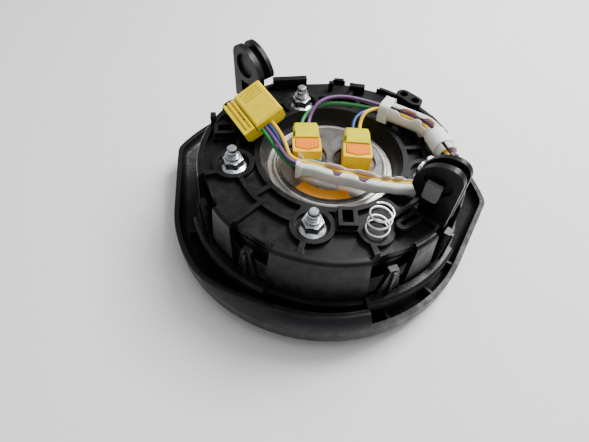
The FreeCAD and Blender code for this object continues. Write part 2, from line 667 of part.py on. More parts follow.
def slab(name, x, y, turn, length, width, low, high):
    """An upright block round a point."""
    box = doc.addObject("Part::Box", name)
    bind(box, {"Length": length, "Width": width, "Height": f"{high} - ({low})"})
    along = f"(({length}) * cos({turn}) - ({width}) * sin({turn})) / 2"
    across = f"(({length}) * sin({turn}) + ({width}) * cos({turn})) / 2"
    place(box, f"{x} - {along}", f"{y} - {across}", low, turn)
    return box


def build_tower(name, side, outer, spar):
    """A hooked head on a column, dished in front; outer is the sign of its outer edge."""
    body = new_body(name)
    front = "-Sizes.tower_depth / 2"
    foot = "(Sizes.floor_height - 1)"
    peak = "(Sizes.tower_outer - Sizes.tower_shoulder)"
    nose = f"Sizes.tower_{side}_nose"
    nose_level = f"Sizes.tower_{side}_nose_level"

    def head(inset, neck):
        run = f"({peak} + {nose} - {inset})"
        rise = f"(Sizes.tower_top - {nose_level} - {inset})"
        corners = [
            (f"Sizes.tower_outer - {inset}", foot),
            (f"Sizes.tower_outer - {inset}", "Sizes.tower_top - Sizes.tower_shoulder"),
            (peak, f"Sizes.tower_top - {inset}"), (f"{inset} - {nose}", nose_level),
            (f"{inset} - {nose}", f"{nose_level} - Sizes.tower_nose_face"),
            (f"-({neck})", f"{nose_level} - Sizes.tower_nose_face - Sizes.tower_throat"), (f"-({neck})", foot),
        ]
        bends = {1: (f"Sizes.tower_shoulder - {inset}", outer),
                 2: (f"({run} ^ 2 + {rise} ^ 2) / (2 * {rise})", outer)}
        return [(f"{outer} * ({x})", z) for x, z in corners], bends

    core_front = f"{front} + Sizes.tower_front_wall"
    core_back = "Sizes.tower_depth / 2 - Sizes.tower_back_wall"
    layers = [
        ("front", "0", front, "Sizes.tower_front_wall", "Sizes.tower_neck"),
        ("core", "Sizes.tower_groove", core_front, f"{core_back} - ({core_front})", "Sizes.tower_neck - 1"),
        ("back", "0", core_back, "Sizes.tower_back_wall", "Sizes.tower_neck"),
    ]
    for label, inset, start, depth, neck in layers:
        corners, bends = head(inset, neck)
        sketch = upright_sketch(body, f"{name}_{label}", corners, back=start, arcs=bends)
        pad(body, sketch, depth, backward=True)
    dish = upright_sketch(body, name + "_dish", back=front, circles=[
        ("0", "Sizes.tower_dish_level", "Sizes.tower_dish")])
    pocket(body, dish, "Sizes.tower_dish_depth")
    slot = upright_sketch(body, name + "_slot", block(
        "-Sizes.tower_slot_width / 2", "Sizes.tower_slot_width / 2",
        "Sizes.floor_height + Sizes.tower_slot_foot", "Sizes.tower_slot_top"), back=front)
    pocket(body, slot, "Sizes.tower_slot_depth")
    if spar:
        beam = upright_sketch(body, name + "_spar", block(
            f"{outer} * -({nose})", f"{outer} * Sizes.spar_end",
            "Sizes.spar_level", "Sizes.spar_level + Sizes.spar_height"), back=front)
        pad(body, beam, "Sizes.tower_front_wall + Sizes.spar_proud", backward=True)
    else:
        drop = upright_sketch(body, name + "_buttress", [
            (f"{outer} * 1.5", "Sizes.floor_height - Sizes.buttress_drop"),
            (f"{outer} * Sizes.tower_outer", "Sizes.floor_height - Sizes.buttress_drop / 3"),
            (f"{outer} * Sizes.tower_outer", "Sizes.floor_height + 1"),
            (f"{outer} * 1.5", "Sizes.floor_height + 1"),
        ], back=f"{front} + 1")
        pad(body, drop, "Sizes.tower_depth - 2", backward=True)
    place(body, f"Sizes.tower_{side}_x", f"Sizes.tower_{side}_y", "0", f"Sizes.tower_{side}_turn")
    return body


def build_housing():
    body = new_body("housing_shell")
    drum_inside = "(Sizes.drum_radius - Sizes.drum_wall)"
    collar = "(Sizes.opening_low_radius + Sizes.collar_wall)"
    section = upright_sketch(body, "housing_section", [
        ("Sizes.opening_low_radius", FACE), ("Sizes.housing_radius", FACE), (HOUSING_FOOT, "Sizes.seam_height"),
        (f"{HOUSING_FOOT} - Sizes.housing_wall", "Sizes.seam_height"),
        ("Sizes.housing_radius - Sizes.housing_wall", UNDER), ("Sizes.drum_radius", UNDER),
        ("Sizes.drum_radius", "Sizes.bead_level + Sizes.bead_height"),
        ("Sizes.bead_radius", "Sizes.bead_level + Sizes.bead_height"), ("Sizes.bead_radius", "Sizes.bead_level"),
        ("Sizes.drum_radius", "Sizes.bead_level"),
        ("Sizes.drum_radius", "Sizes.drum_foot"), (drum_inside, "Sizes.drum_foot"), (drum_inside, UNDER),
        (collar, UNDER), (collar, COLLAR), ("Sizes.opening_low_radius", COLLAR),
    ])
    turned(body, "Revolution", section)
    soften(body, "Fillet", "Sizes.housing_round", [("Sizes.housing_radius", "0", FACE)])
    above = f"({FACE} + 1)"
    for ring in ("inner", "outer"):
        cut = upright_sketch(body, ring + "_pocket", block(
            f"Sizes.{ring}_pocket_start", f"Sizes.{ring}_pocket_end", "Sizes.floor_height", above),
            "7" if ring == "outer" else "360")
        pattern_round(body, turned(body, "Groove", cut, f"Sizes.{ring}_pocket_angle"), "Sizes.pocket_count")
    bosses = [(f"Sizes.{stud}_x", f"Sizes.{stud}_y", "Sizes.nut_boss_radius") for stud in STUDS]
    bosses.append(("Sizes.spring_x", "Sizes.spring_y", "Sizes.spring_boss"))
    for number, circle in enumerate(bosses, 1):
        disc = flat_sketch(body, f"boss_{number}", level="Sizes.floor_height - 0.5", circles=[circle])
        pad(body, disc, "Sizes.rib_height + 0.5")
    disc = flat_sketch(body, "bolt_boss", level="Sizes.floor_height - Sizes.bolt_shank", circles=[
        ("Sizes.bolt_x", "Sizes.bolt_y", "Sizes.bolt_boss_radius")])
    pad(body, disc, "Sizes.bolt_shank + Sizes.rib_height")
    for name in ("left", "front"):
        seat = flat_sketch(body, f"sleeve_{name}_seat", rectangle(
            f"Sizes.sleeve_{name}_x", f"Sizes.sleeve_{name}_y", "Sizes.sleeve_length + 2",
            "Sizes.sleeve_width + 2", f"Sizes.sleeve_{name}_turn"), "Sizes.floor_height - 0.5")
        pad(body, seat, "Sizes.rib_height + 0.5")
    under = flat_sketch(body, "stud_bosses", level=COLLAR, circles=[
        (f"Sizes.{stud}_x", f"Sizes.{stud}_y", "Sizes.stud_boss_radius") for stud in STUDS])
    pad(body, under, f"{UNDER} + 0.5 - {COLLAR}")
    cone = upright_sketch(body, "opening", [
        ("0", f"{COLLAR} - 1"), ("Sizes.opening_low_radius", f"{COLLAR} - 1"),
        ("Sizes.opening_low_radius", COLLAR), ("Sizes.opening_radius", FACE),
        ("Sizes.opening_radius", above), ("0", above),
    ])
    turned(body, "Groove", cone)
    seats = flat_sketch(body, "nut_seats", level=FACE, circles=[
        (f"Sizes.{stud}_x", f"Sizes.{stud}_y", "Sizes.nut_seat_radius") for stud in STUDS])
    pocket(body, seats, "Sizes.rib_height")
    bores = flat_sketch(body, "stud_bores", level=FACE, circles=[
        (f"Sizes.{stud}_x", f"Sizes.{stud}_y", "Sizes.stud_radius + Sizes.fastener_gap") for stud in STUDS])
    pocket(body, bores, f"{FACE} - {COLLAR} + 1")
    seat = flat_sketch(body, "bolt_seat", level=FACE, circles=[
        ("Sizes.bolt_x", "Sizes.bolt_y", "Sizes.bolt_seat_radius")])
    pocket(body, seat, "Sizes.rib_height")
    bore = flat_sketch(body, "bolt_bore", level=FACE, circles=[
        ("Sizes.bolt_x", "Sizes.bolt_y", "Sizes.stud_radius + Sizes.fastener_gap")])
    pocket(body, bore, "Sizes.rib_height + Sizes.bolt_shank + 1")
    for name in ("left", "front"):
        hole = flat_sketch(body, f"sleeve_{name}_hole", rectangle(
            f"Sizes.sleeve_{name}_x", f"Sizes.sleeve_{name}_y",
            "Sizes.sleeve_length - 2 * Sizes.sleeve_shank_inset + 2 * Sizes.sleeve_fit",
            "Sizes.sleeve_width - 2 * Sizes.sleeve_shank_inset + 2 * Sizes.sleeve_fit",
            f"Sizes.sleeve_{name}_turn"), FACE)
        pocket(body, hole, "Sizes.sleeve_sink")
    for number, azimuth in enumerate(HOOKS, 1):
        window = facing_sketch(body, f"window_{number}", [
            ("-Sizes.window_foot_width / 2", "Sizes.seam_height - 1"),
            ("Sizes.window_foot_width / 2", "Sizes.seam_height - 1"),
            ("Sizes.window_width / 2", above), ("-Sizes.window_width / 2", above),
        ], azimuth, "Sizes.window_depth_start")
        pocket(body, window, f"{HOUSING_FOOT} + 3 - Sizes.window_depth_start", forward=True)
    pieces = [body, build_tower("tower_left", "left", -1, False), build_tower("tower_right", "right", 1, True)]
    low = "(Sizes.floor_height - 1)"
    twin = stadium("twin_boss", "44.9", "53.7", "140", "18", "9", low, "66")
    holes = flat_sketch(twin, "twin_bores", level="66", circles=[("-4.4", "0", "2.6"), ("4.4", "0", "2.6")])
    pocket(twin, holes, "6")
    loop = stadium("loop_boss", "41.6", "-44.9", "222.8", "16", "6.6", low, "64")
    slot = flat_sketch(loop, "loop_slot", block("-5.2", "5.2", "-1.3", "1.3"), "64")
    pocket(loop, slot, "4")
    pieces += [twin, loop]
    pieces += [
        slab("back_bar", "-31.9", "60.7", "15", "22", "4", low, "66"),
        slab("back_block", "12", "63.6", "0", "10", "3.6", low, "64"),
        slab("back_post", "-5", "64", "0", "3", "3", low, "64"),
        slab("left_post", "-71.2", "14.6", "10", "3", "4.5", low, "67"),
        slab("side_hook", "59.2", "37.8", "122", "6", "3", low, "63.5"),
    ]
    return keep(join("housing", pieces), "housing")


# studs, nuts and bolt
def hexagon(across):
    reach = f"({across}) / 2 / cos(30)"
    return [(f"{reach} * cos({60 * side})", f"{reach} * sin({60 * side})") for side in range(6)]


def gather(name, pieces):
    group = doc.addObject("Part::Compound", name + "_group")
    group.Links = pieces
    return keep(group, name)


def build_studs():
    studs = []
    for stud in STUDS:
        body = new_body(stud)
        tip = "(Sizes.floor_height + Sizes.stud_length)"
        section = upright_sketch(body, stud + "_section", [
            ("0", f"{RING_LOW} - Sizes.stud_head"), ("Sizes.stud_head_radius", f"{RING_LOW} - Sizes.stud_head"),
            ("Sizes.stud_head_radius", RING_LOW), ("Sizes.stud_radius", RING_LOW),
            ("Sizes.stud_radius", f"{tip} - 3"), ("Sizes.stud_tip_radius", f"{tip} - 2.4"),
            ("Sizes.stud_tip_radius", f"{tip} - 0.6"), ("Sizes.stud_tip_radius - 0.6", tip), ("0", tip),
        ])
        turned(body, "Revolution", section)
        place(body, f"Sizes.{stud}_x", f"Sizes.{stud}_y")
        studs.append(body)
    gather("mounting_studs", studs)


def build_nut(name, x, y, bored, top_collar):
    body = new_body(name)
    inside = "Sizes.stud_radius + Sizes.fastener_gap" if bored else "0"
    flange_top = "(Sizes.floor_height + Sizes.nut_flange)"
    flange = upright_sketch(body, name + "_flange", [
        (inside, "Sizes.floor_height"), ("Sizes.nut_flange_radius", "Sizes.floor_height"),
        ("Sizes.nut_flange_radius", f"{flange_top} - 0.5"), ("Sizes.nut_hex / 2", f"{flange_top} + 0.8"),
        (inside, f"{flange_top} + 0.8"),
    ])
    turned(body, "Revolution", flange)
    hexed = flat_sketch(body, name + "_hexagon", hexagon("Sizes.nut_hex"), flange_top)
    if bored:
        draw_circles(hexed, [("0", "0", inside)])
    pad(body, hexed, "Sizes.nut_hex_height")
    hex_top = f"({flange_top} + Sizes.nut_hex_height)"
    bevel = upright_sketch(body, name + "_bevel", [
        ("Sizes.nut_hex / 2", hex_top), ("Sizes.nut_hex", f"{hex_top} - Sizes.nut_hex * 0.25"),
        ("Sizes.nut_hex", f"{hex_top} + 1"), ("Sizes.nut_hex / 2", f"{hex_top} + 1"),
    ])
    turned(body, "Groove", bevel)
    if top_collar:
        neck = flat_sketch(body, name + "_collar", level=hex_top, circles=[
            ("0", "0", "Sizes.nut_collar_radius"), ("0", "0", inside)])
        pad(body, neck, "Sizes.nut_collar")
    else:
        shank = flat_sketch(body, name + "_shank", level=f"Sizes.floor_height - Sizes.bolt_shank + 0.5",
                            circles=[("0", "0", "Sizes.stud_radius")])
        pad(body, shank, "Sizes.bolt_shank")
    place(body, x, y)
    return body


def build_fasteners():
    build_studs()
    gather("flange_nuts", [
        build_nut("nut_" + stud, f"Sizes.{stud}_x", f"Sizes.{stud}_y", True, True) for stud in STUDS])
    keep(build_nut("bolt", "Sizes.bolt_x", "Sizes.bolt_y", False, False), "flange_bolt")


# inflator, retainer ring and air bag
def build_inflator():
    can = new_body("inflator_can")
    wall = "Sizes.inflator_wall"
    inside = f"(Sizes.inflator_radius - {wall})"
    seat = "(Sizes.closure_top - Sizes.closure_thickness)"
    section = upright_sketch(can, "can_section", [
        ("0", "Sizes.inflator_foot"), ("Sizes.inflator_radius - 4", "Sizes.inflator_foot"),
        ("Sizes.inflator_radius", "Sizes.inflator_foot + 4"), ("Sizes.inflator_radius", FLANGE_LOW),
        ("Sizes.flange_radius", FLANGE_LOW), ("Sizes.flange_radius", COLLAR),
        ("Sizes.inflator_radius", COLLAR), ("Sizes.inflator_radius", "Sizes.inflator_rim - 0.8"),
        ("Sizes.inflator_radius - 0.8", "Sizes.inflator_rim"), (f"{inside} + 0.4", "Sizes.inflator_rim"),
        (inside, "Sizes.inflator_rim - 0.4"), (inside, seat), (f"{inside} - 2", seat),
        (f"{inside} - 2", f"Sizes.inflator_foot + {wall}"), ("0", f"Sizes.inflator_foot + {wall}"),
    ])
    turned(can, "Revolution", section)
    bores = flat_sketch(can, "flange_bores", level=COLLAR, circles=[
        (f"Sizes.{stud}_x", f"Sizes.{stud}_y", "Sizes.stud_radius + Sizes.fastener_gap") for stud in STUDS])
    pocket(can, bores, "Sizes.flange_thickness + 1")
    outlet = facing_sketch(can, "gas_outlet", hexagon_at("Sizes.gas_hole_height"), "360",
                           f"{inside} - 4")
    pattern_round(can, pocket(can, outlet, "8", forward=True), "Sizes.gas_hole_count")
    keep(can, "inflator_can")
    closure = new_body("inflator_closure")
    rim = f"({inside} - Sizes.fastener_gap)"
    section = upright_sketch(closure, "closure_section", [
        ("0", seat), (rim, seat), (rim, "Sizes.closure_top - 2.2"),
        ("Sizes.closure_flat_radius", "Sizes.closure_top - 1.2"),
        ("Sizes.closure_flat_radius - 0.6", "Sizes.closure_top"), ("0", "Sizes.closure_top"),
    ])
    turned(closure, "Revolution", section)
    for side in ("left", "right"):
        centre = (f"Sizes.port_{side}_x", "Sizes.port_y")
        dish = flat_sketch(closure, f"port_{side}_dish", level="Sizes.closure_top", circles=[
            (*centre, "Sizes.port_recess_radius"), (*centre, "Sizes.igniter_radius + 1")])
        pocket(closure, dish, "Sizes.port_recess")
        port = flat_sketch(closure, f"port_{side}_bore", level="Sizes.closure_top", circles=[
            (*centre, "Sizes.igniter_radius")])
        pocket(closure, port, "Sizes.closure_thickness + 1")
    keep(closure, "inflator_closure")


def hexagon_at(level):
    """A small upright hexagon round the sketch's vertical, for a gas outlet."""
    return [(f"Sizes.gas_hole_radius * cos({60 * side})",
             f"{level} + Sizes.gas_hole_radius * sin({60 * side})") for side in range(6)]


def build_retainer():
    body = new_body("retainer")
    section = upright_sketch(body, "retainer_section", block(
        "Sizes.ring_bore", "Sizes.ring_radius", RING_LOW, RING_TOP))
    turned(body, "Revolution", section)
    bores = flat_sketch(body, "retainer_bores", level=RING_TOP, circles=[
        (f"Sizes.{stud}_x", f"Sizes.{stud}_y", "Sizes.stud_radius + Sizes.fastener_gap") for stud in STUDS])
    pocket(body, bores, "Sizes.ring_thickness + 1")
    keep(body, "retainer_ring")


def build_bag():
    body = new_body("bag")
    outer = "(Sizes.drum_radius - Sizes.drum_wall - Sizes.bag_gap)"
    hole = "(Sizes.inflator_radius + Sizes.bag_gap)"
    pack_top = f"({RING_LOW} - Sizes.stud_head - Sizes.fastener_gap)"
    heads = [f"sqrt(Sizes.{stud}_x ^ 2 + Sizes.{stud}_y ^ 2) + Sizes.stud_head_radius" for stud in STUDS]
    pit = f"(max(Sizes.ring_radius; {'; '.join(heads)}) + Sizes.bag_gap)"
    section = upright_sketch(body, "bag_section", [
        ("0", "Sizes.bag_foot"), (f"{outer} - Sizes.bag_top_round", "Sizes.bag_foot"),
        (outer, "Sizes.bag_foot + Sizes.bag_top_round"), (outer, f"{FLANGE_LOW} - Sizes.bag_top_round"),
        (f"{outer} - 2", FLANGE_LOW), (hole, FLANGE_LOW), (hole, RING_TOP),
        (pit, RING_TOP), (pit, pack_top), (hole, pack_top),
        (hole, "Sizes.inflator_foot - Sizes.bag_gap"), ("0", "Sizes.inflator_foot - Sizes.bag_gap"),
    ])
    turned(body, "Revolution", section)
    bores = flat_sketch(body, "bag_bores", level=FLANGE_LOW, circles=[
        (f"Sizes.{stud}_x", f"Sizes.{stud}_y", "Sizes.stud_radius + Sizes.fastener_gap") for stud in STUDS])
    pocket(body, bores, "Sizes.bag_mouth")
    keep(body, "airbag_cushion")


# igniters, their plugs, locks and the coding key
def build_igniter(side):
    body = new_body(f"igniter_{side}")
    floor = "(Sizes.igniter_top - Sizes.plug_spigot - 1)"
    section = upright_sketch(body, f"igniter_{side}_section", [
        ("0", "Sizes.igniter_foot"), ("Sizes.igniter_radius - 1.5", "Sizes.igniter_foot"),
        ("Sizes.igniter_radius - Sizes.fastener_gap", "Sizes.igniter_foot + 2"),
        ("Sizes.igniter_radius - Sizes.fastener_gap", "Sizes.closure_top"),
        ("Sizes.igniter_radius + 0.9", "Sizes.closure_top"), ("Sizes.igniter_radius + 0.9", "Sizes.igniter_top"),
        ("Sizes.igniter_bore", "Sizes.igniter_top"), ("Sizes.igniter_bore", floor), ("0", floor),
    ])
    turned(body, "Revolution", section)
    pins = flat_sketch(body, f"igniter_{side}_pins", level=f"{floor} - 1", circles=[
        ("-1", "0", "Sizes.pin_radius"), ("1", "0", "Sizes.pin_radius")])
    pad(body, pins, "1.8")
    place(body, f"Sizes.port_{side}_x", "Sizes.port_y", "0", f"Sizes.port_{side}_turn")
    keep(body, f"igniter_{side}")


def lock_outline(gap):
    wide = f"(Sizes.lock_width / 2 + {gap})"
    back = f"-(Sizes.lock_back - {gap})"
    step = f"-(Sizes.lock_back + Sizes.lock_length + {gap})"
    return [(f"-{wide}", step), ("0", f"{step} - Sizes.lock_point"), (wide, step), (wide, back), (f"-{wide}", back)]


def build_squib(side):
    block_body = new_body(f"plug_{side}")
    outline = flat_sketch(block_body, f"plug_{side}_outline", block(
        "-Sizes.plug_width / 2", "Sizes.plug_width / 2", "-Sizes.plug_front", "0"), "Sizes.igniter_top")
    pad(block_body, outline, "Sizes.plug_top - Sizes.igniter_top")
    soften(block_body, "Fillet", "1.2", [
        (f"{sign} * Sizes.plug_width / 2", "-Sizes.plug_front", "Sizes.igniter_top + 3") for sign in (1, -1)])
    base = flat_sketch(block_body, f"plug_{side}_base", block(
        "-Sizes.igniter_radius", "Sizes.igniter_radius", "-1", "Sizes.igniter_radius"), "Sizes.igniter_top")
    pad(block_body, base, "Sizes.cap_foot - Sizes.igniter_top")
    spigot = flat_sketch(block_body, f"plug_{side}_spigot", circles=[
        ("0", "0", "Sizes.igniter_bore - Sizes.plug_spigot_gap")], level="Sizes.igniter_top - Sizes.plug_spigot")
    pad(block_body, spigot, "Sizes.plug_spigot + 0.5")
    socket = flat_sketch(block_body, f"plug_{side}_contacts", level="Sizes.igniter_top - Sizes.plug_spigot",
                         circles=[("-1", "0", "Sizes.pin_radius + 0.3"), ("1", "0", "Sizes.pin_radius + 0.3")])
    pocket(block_body, socket, "2.5", forward=True)
    well = flat_sketch(block_body, f"plug_{side}_well", lock_outline("Sizes.lock_gap"), "Sizes.plug_top")
    pocket(block_body, well, "Sizes.lock_height - Sizes.lock_proud")
    if side == "left":
        notch = flat_sketch(block_body, "plug_key_notch", block(
            "Sizes.plug_width / 2 - Sizes.key_width", "Sizes.plug_width / 2 + 1",
            "-Sizes.plug_front - 1", "Sizes.key_depth - Sizes.plug_front"), "Sizes.igniter_top - 1")
        pocket(block_body, notch, "Sizes.key_height + 1", forward=True)
    spot = (f"Sizes.port_{side}_x", "Sizes.port_y", "0", f"Sizes.port_{side}_turn")
    place(block_body, *spot)
    keep(block_body, f"squib_plug_{side}")
    cap = new_body(f"cap_{side}")
    outline = flat_sketch(cap, f"cap_{side}_outline", [
        ("-Sizes.plug_width / 2 + Sizes.cap_inset", "0"), ("Sizes.plug_width / 2 - Sizes.cap_inset", "0"),
        ("Sizes.plug_width / 2 - Sizes.cap_inset", "Sizes.cap_length - Sizes.cap_taper"),
        ("Sizes.cap_rear_width / 2", "Sizes.cap_length"), ("-Sizes.cap_rear_width / 2", "Sizes.cap_length"),
        ("-Sizes.plug_width / 2 + Sizes.cap_inset", "Sizes.cap_length - Sizes.cap_taper"),
    ], "Sizes.cap_foot")
    pad(cap, outline, "Sizes.cap_top - Sizes.cap_foot")
    soften(cap, "Chamfer", "Sizes.cap_bevel", [
        ("0", "Sizes.cap_length", "Sizes.cap_top"),
        *[(f"{sign} * (Sizes.plug_width / 2 - Sizes.cap_inset)", "1", "Sizes.cap_top") for sign in (1, -1)],
        *[(f"{sign} * (Sizes.cap_rear_width / 2 + 0.5)", "Sizes.cap_length - 1", "Sizes.cap_top")
          for sign in (1, -1)],
    ])
    notch = flat_sketch(cap, f"cap_{side}_notch", block(
        "-Sizes.plug_width / 2", "-Sizes.plug_width / 2 + 1.8", "1", "5.5"), "Sizes.cap_top")
    pocket(cap, notch, "5")
    place(cap, *spot)
    keep(cap, f"squib_cap_{side}")
    lock = new_body(f"lock_{side}")
    outline = flat_sketch(lock, f"lock_{side}_outline", lock_outline("0"),
                          "Sizes.plug_top + Sizes.lock_proud - Sizes.lock_height")
    pad(lock, outline, "Sizes.lock_height")
    place(lock, *spot)
    keep(lock, f"squib_lock_{side}")
    if side == "left":
        key = new_body("key")
        outline = flat_sketch(key, "key_outline", block(
            "Sizes.plug_width / 2 - Sizes.key_width", "Sizes.plug_width / 2 + 0.2",
            "-Sizes.plug_front - 0.2", "Sizes.key_depth - Sizes.plug_front"), "Sizes.igniter_top")
        pad(key, outline, "Sizes.key_height")
        place(key, *spot)
        keep(key, "coding_key")


def build_sticker():
    body = new_body("sticker")
    section = upright_sketch(body, "sticker_section", block(
        "Sizes.sticker_inner", "Sizes.closure_flat_radius - Sizes.sticker_margin", "Sizes.closure_top",
        "Sizes.closure_top + Sizes.sticker_thickness"), "Sizes.sticker_middle")
    turned(body, "Revolution", section, "Sizes.sticker_span")
    keep(body, "inflator_sticker")


# guide sleeves, rubber pad and horn spring
def build_sleeve(name):
    body = new_body("sleeve_" + name)
    collar = flat_sketch(body, f"sleeve_{name}_collar", rectangle(
        "0", "0", "Sizes.sleeve_length", "Sizes.sleeve_width"), FACE)
    pad(body, collar, "Sizes.sleeve_top")
    shank = flat_sketch(body, f"sleeve_{name}_shank", rectangle(
        "0", "0", "Sizes.sleeve_length - 2 * Sizes.sleeve_shank_inset",
        "Sizes.sleeve_width - 2 * Sizes.sleeve_shank_inset"), f"{FACE} - Sizes.sleeve_sink")
    pad(body, shank, "Sizes.sleeve_sink + 0.5")
    opening = flat_sketch(body, f"sleeve_{name}_opening", rectangle(
        "0", "0", "Sizes.sleeve_length - 2 * Sizes.sleeve_wall",
        "Sizes.sleeve_width - 2 * Sizes.sleeve_wall"), f"{FACE} + Sizes.sleeve_top")
    pocket(body, opening, "Sizes.sleeve_top + Sizes.sleeve_sink + 1")
    place(body, f"Sizes.sleeve_{name}_x", f"Sizes.sleeve_{name}_y", "0", f"Sizes.sleeve_{name}_turn")
    keep(body, f"guide_sleeve_{name}")


def build_pad():
    body = new_body("pad")
    outline = upright_sketch(body, "pad_outline", block(
        "-Sizes.pad_width / 2 - 1", "Sizes.pad_width / 2 - 1",
        "Sizes.spar_level - 3.4", "Sizes.spar_level - 3.4 + Sizes.pad_height"),
        back="-Sizes.tower_depth / 2")
    pad(body, outline, "Sizes.pad_thickness")
    soften(body, "Fillet", "1.5", [
        ("-Sizes.pad_width / 2 - 1", "-Sizes.tower_depth / 2 - 1", "Sizes.spar_level - 3.4"),
        ("Sizes.pad_width / 2 - 1", "-Sizes.tower_depth / 2 - 1", "Sizes.spar_level - 3.4")])
    place(body, "Sizes.tower_right_x", "Sizes.tower_right_y", "0", "Sizes.tower_right_turn")
    keep(body, "rubber_pad")


def build_spring():
    """A tapering coil along short arcs, on its boss."""
    wire, rise, cone, close = (value(f"Sizes.spring_{rule}") for rule in ("wire", "height", "cone", "close"))
    turns = value("Sizes.spring_height / Sizes.spring_pitch")
    arcs = round(4 * turns)
    points = []
    for step in range(2 * arcs + 1):
        share = step / (2 * arcs)
        radius = value("Sizes.spring_radius") - share * rise * math.tan(math.radians(cone))
        angle = share * turns * math.tau
        climb = share - close * math.sin(share * math.tau)
        points.append(Vector(radius * math.cos(angle), radius * math.sin(angle), wire + climb * rise))
    path = Part.Wire([Part.Arc(*points[index:index + 3]).toShape() for index in range(0, 2 * arcs, 2)])
    start = path.Edges[0].tangentAt(path.Edges[0].FirstParameter)
    ring = Part.Wire(Part.Circle(points[0], start, wire).toShape())
    coil = doc.addObject("Part::Feature", "spring_coil")
    coil.Shape = path.makePipeShell([ring], True, False)
    place(coil, "Sizes.spring_x", "Sizes.spring_y", FACE)
    keep(coil, "horn_spring")


# wire channel, tube, clip and sleeve
CHANNEL_LINE = [(-18, -16.4), (-9, -16.8), (1, -19.6), (12, -20.8), (23.5, -23.2), (35, -23.6), (45, -22.6)]
TUBE_START = (27, 37)
TUBE_CORNER = (54.5, 24.3)
TUBE_END = (63.5, 2)
FINGERS = [(-9, -16.8, 345), (6.5, -20.3, 352), (18, -22.1, 348), (31.5, -23.5, 358)]


def leftward(line, index):
    """The direction square to a line at one of its points, lengthened at a bend so that the width stays."""
    before = Vector(*line[max(index - 1, 0)][:2], 0)
    here = Vector(*line[index][:2], 0)
    after = Vector(*line[min(index + 1, len(line) - 1)][:2], 0)
    ways = [end - start for start, end in ((before, here), (here, after)) if (end - start).Length > 0]
    ways = [Vector(-way.y, way.x, 0).normalize() for way in ways]
    middle = (ways[0] + ways[-1]).normalize()
    return middle / middle.dot(ways[0])


def strip(line, half_width):
    """Outline of a band along a line of points."""
    right = []
    left = []
    for index, (x, y) in enumerate(line):
        side = leftward(line, index)
        right.append((f"{x} - {side.x:.4f} * ({half_width})", f"{y} - {side.y:.4f} * ({half_width})"))
        left.append((f"{x} + {side.x:.4f} * ({half_width})", f"{y} + {side.y:.4f} * ({half_width})"))
    return right + left[::-1]


def build_channel():
    body = new_body("channel")
    half = "Sizes.channel_width / 2"
    trough = flat_sketch(body, "channel_outline", strip(CHANNEL_LINE, half), FACE)
    pad(body, trough, "Sizes.channel_height")
    raised = flat_sketch(body, "channel_end", strip(CHANNEL_LINE[:2], half), FACE)
    pad(body, raised, "Sizes.channel_end_height")
    hollow = flat_sketch(body, "channel_hollow", strip(CHANNEL_LINE, f"{half} - Sizes.channel_wall"),
                         f"{FACE} + Sizes.channel_end_height + 1")
    pocket(body, hollow, "Sizes.channel_end_height + 1 - Sizes.channel_wall")
    tab = flat_sketch(body, "channel_tab", rectangle(
        "-17.6", "-20.4", "5", "Sizes.channel_wall + 0.4", "322"), f"{FACE} + Sizes.channel_end_height - 10.5")
    pad(body, tab, "10.5")
    for number, (x, y, turn) in enumerate(FINGERS, 1):
        lift = "Sizes.channel_end_height" if number == 1 else "Sizes.channel_height"
        finger = flat_sketch(body, f"channel_finger_{number}", rectangle(
            f"{x} + 1 * sin({turn})", f"{y} - 1 * cos({turn})", "3.6", "Sizes.channel_width - 2", turn),
            f"{FACE} + {lift} - Sizes.channel_wall")
        pad(body, finger, "Sizes.channel_wall")
    keep(body, "harness_channel")


def leg_azimuth():
    rise = TUBE_CORNER[1] - TUBE_START[1]
    return f"{math.degrees(math.atan2(rise, TUBE_CORNER[0] - TUBE_START[0])) + 360:.4f}"


def tube_spine(body, name):
    """The tube's middle line: two straight legs joined by a bend."""
    radius = value("Sizes.tube_bend")
    start, corner, stop = (Vector(x, y, 0) for x, y in (TUBE_START, TUBE_CORNER, TUBE_END))
    into = (corner - start).normalize()
    out = (stop - corner).normalize()
    half_turn = into.getAngle(out) / 2
    reach = radius * math.tan(half_turn)
    first = corner - into * reach
    last = corner + out * reach
    centre = first + Vector(into.y, -into.x, 0) * radius
    sketch = blank_sketch(body, name, "XY_Plane")
    bind(sketch, {"AttachmentOffset.Base.z": TUBE_LEVEL})
    angles = [math.atan2(point.y - centre.y, point.x - centre.x) for point in (last, first)]
    sketch.addGeometry(Part.LineSegment(start, first))
    sketch.addGeometry(Part.ArcOfCircle(Part.Circle(centre, Vector(0, 0, 1), radius), *angles))
    sketch.addGeometry(Part.LineSegment(last, stop))
    sketch.addConstraint(Sketcher.Constraint("Tangent", 0, 2, 1, 2))
    sketch.addConstraint(Sketcher.Constraint("Tangent", 1, 1, 2, 1))
    for line, end, point in ((0, 1, start), (2, 2, stop)):
        sketch.addConstraint(Sketcher.Constraint("DistanceX", -1, 1, line, end, point.x))
        sketch.addConstraint(Sketcher.Constraint("DistanceY", -1, 1, line, end, point.y))
    spot = sketch.addConstraint(Sketcher.Constraint("Radius", 1, radius))
    sketch.setExpression(f"Constraints[{spot}]", "Sizes.tube_bend")
    spot = sketch.addConstraint(Sketcher.Constraint("Angle", 0, math.atan2(into.y, into.x)))
    return sketch


def end_sketch(body, name, corners=None, circles=None):
    """A sketch square to the tube at its start."""
    azimuth = leg_azimuth()
    sketch = blank_sketch(body, name, "YZ_Plane")
    sketch.AttachmentOffset = Placement(Vector(), Rotation(Vector(0, 1, 0), value(azimuth)))
    x, y = TUBE_START
    bind(sketch, {
        "AttachmentOffset.Base.x": y,
        "AttachmentOffset.Base.z": x,
        "AttachmentOffset.Rotation.Angle": azimuth,
    })
    if corners:
        draw(sketch, corners)
    if circles:
        draw_circles(sketch, circles)
    return sketch


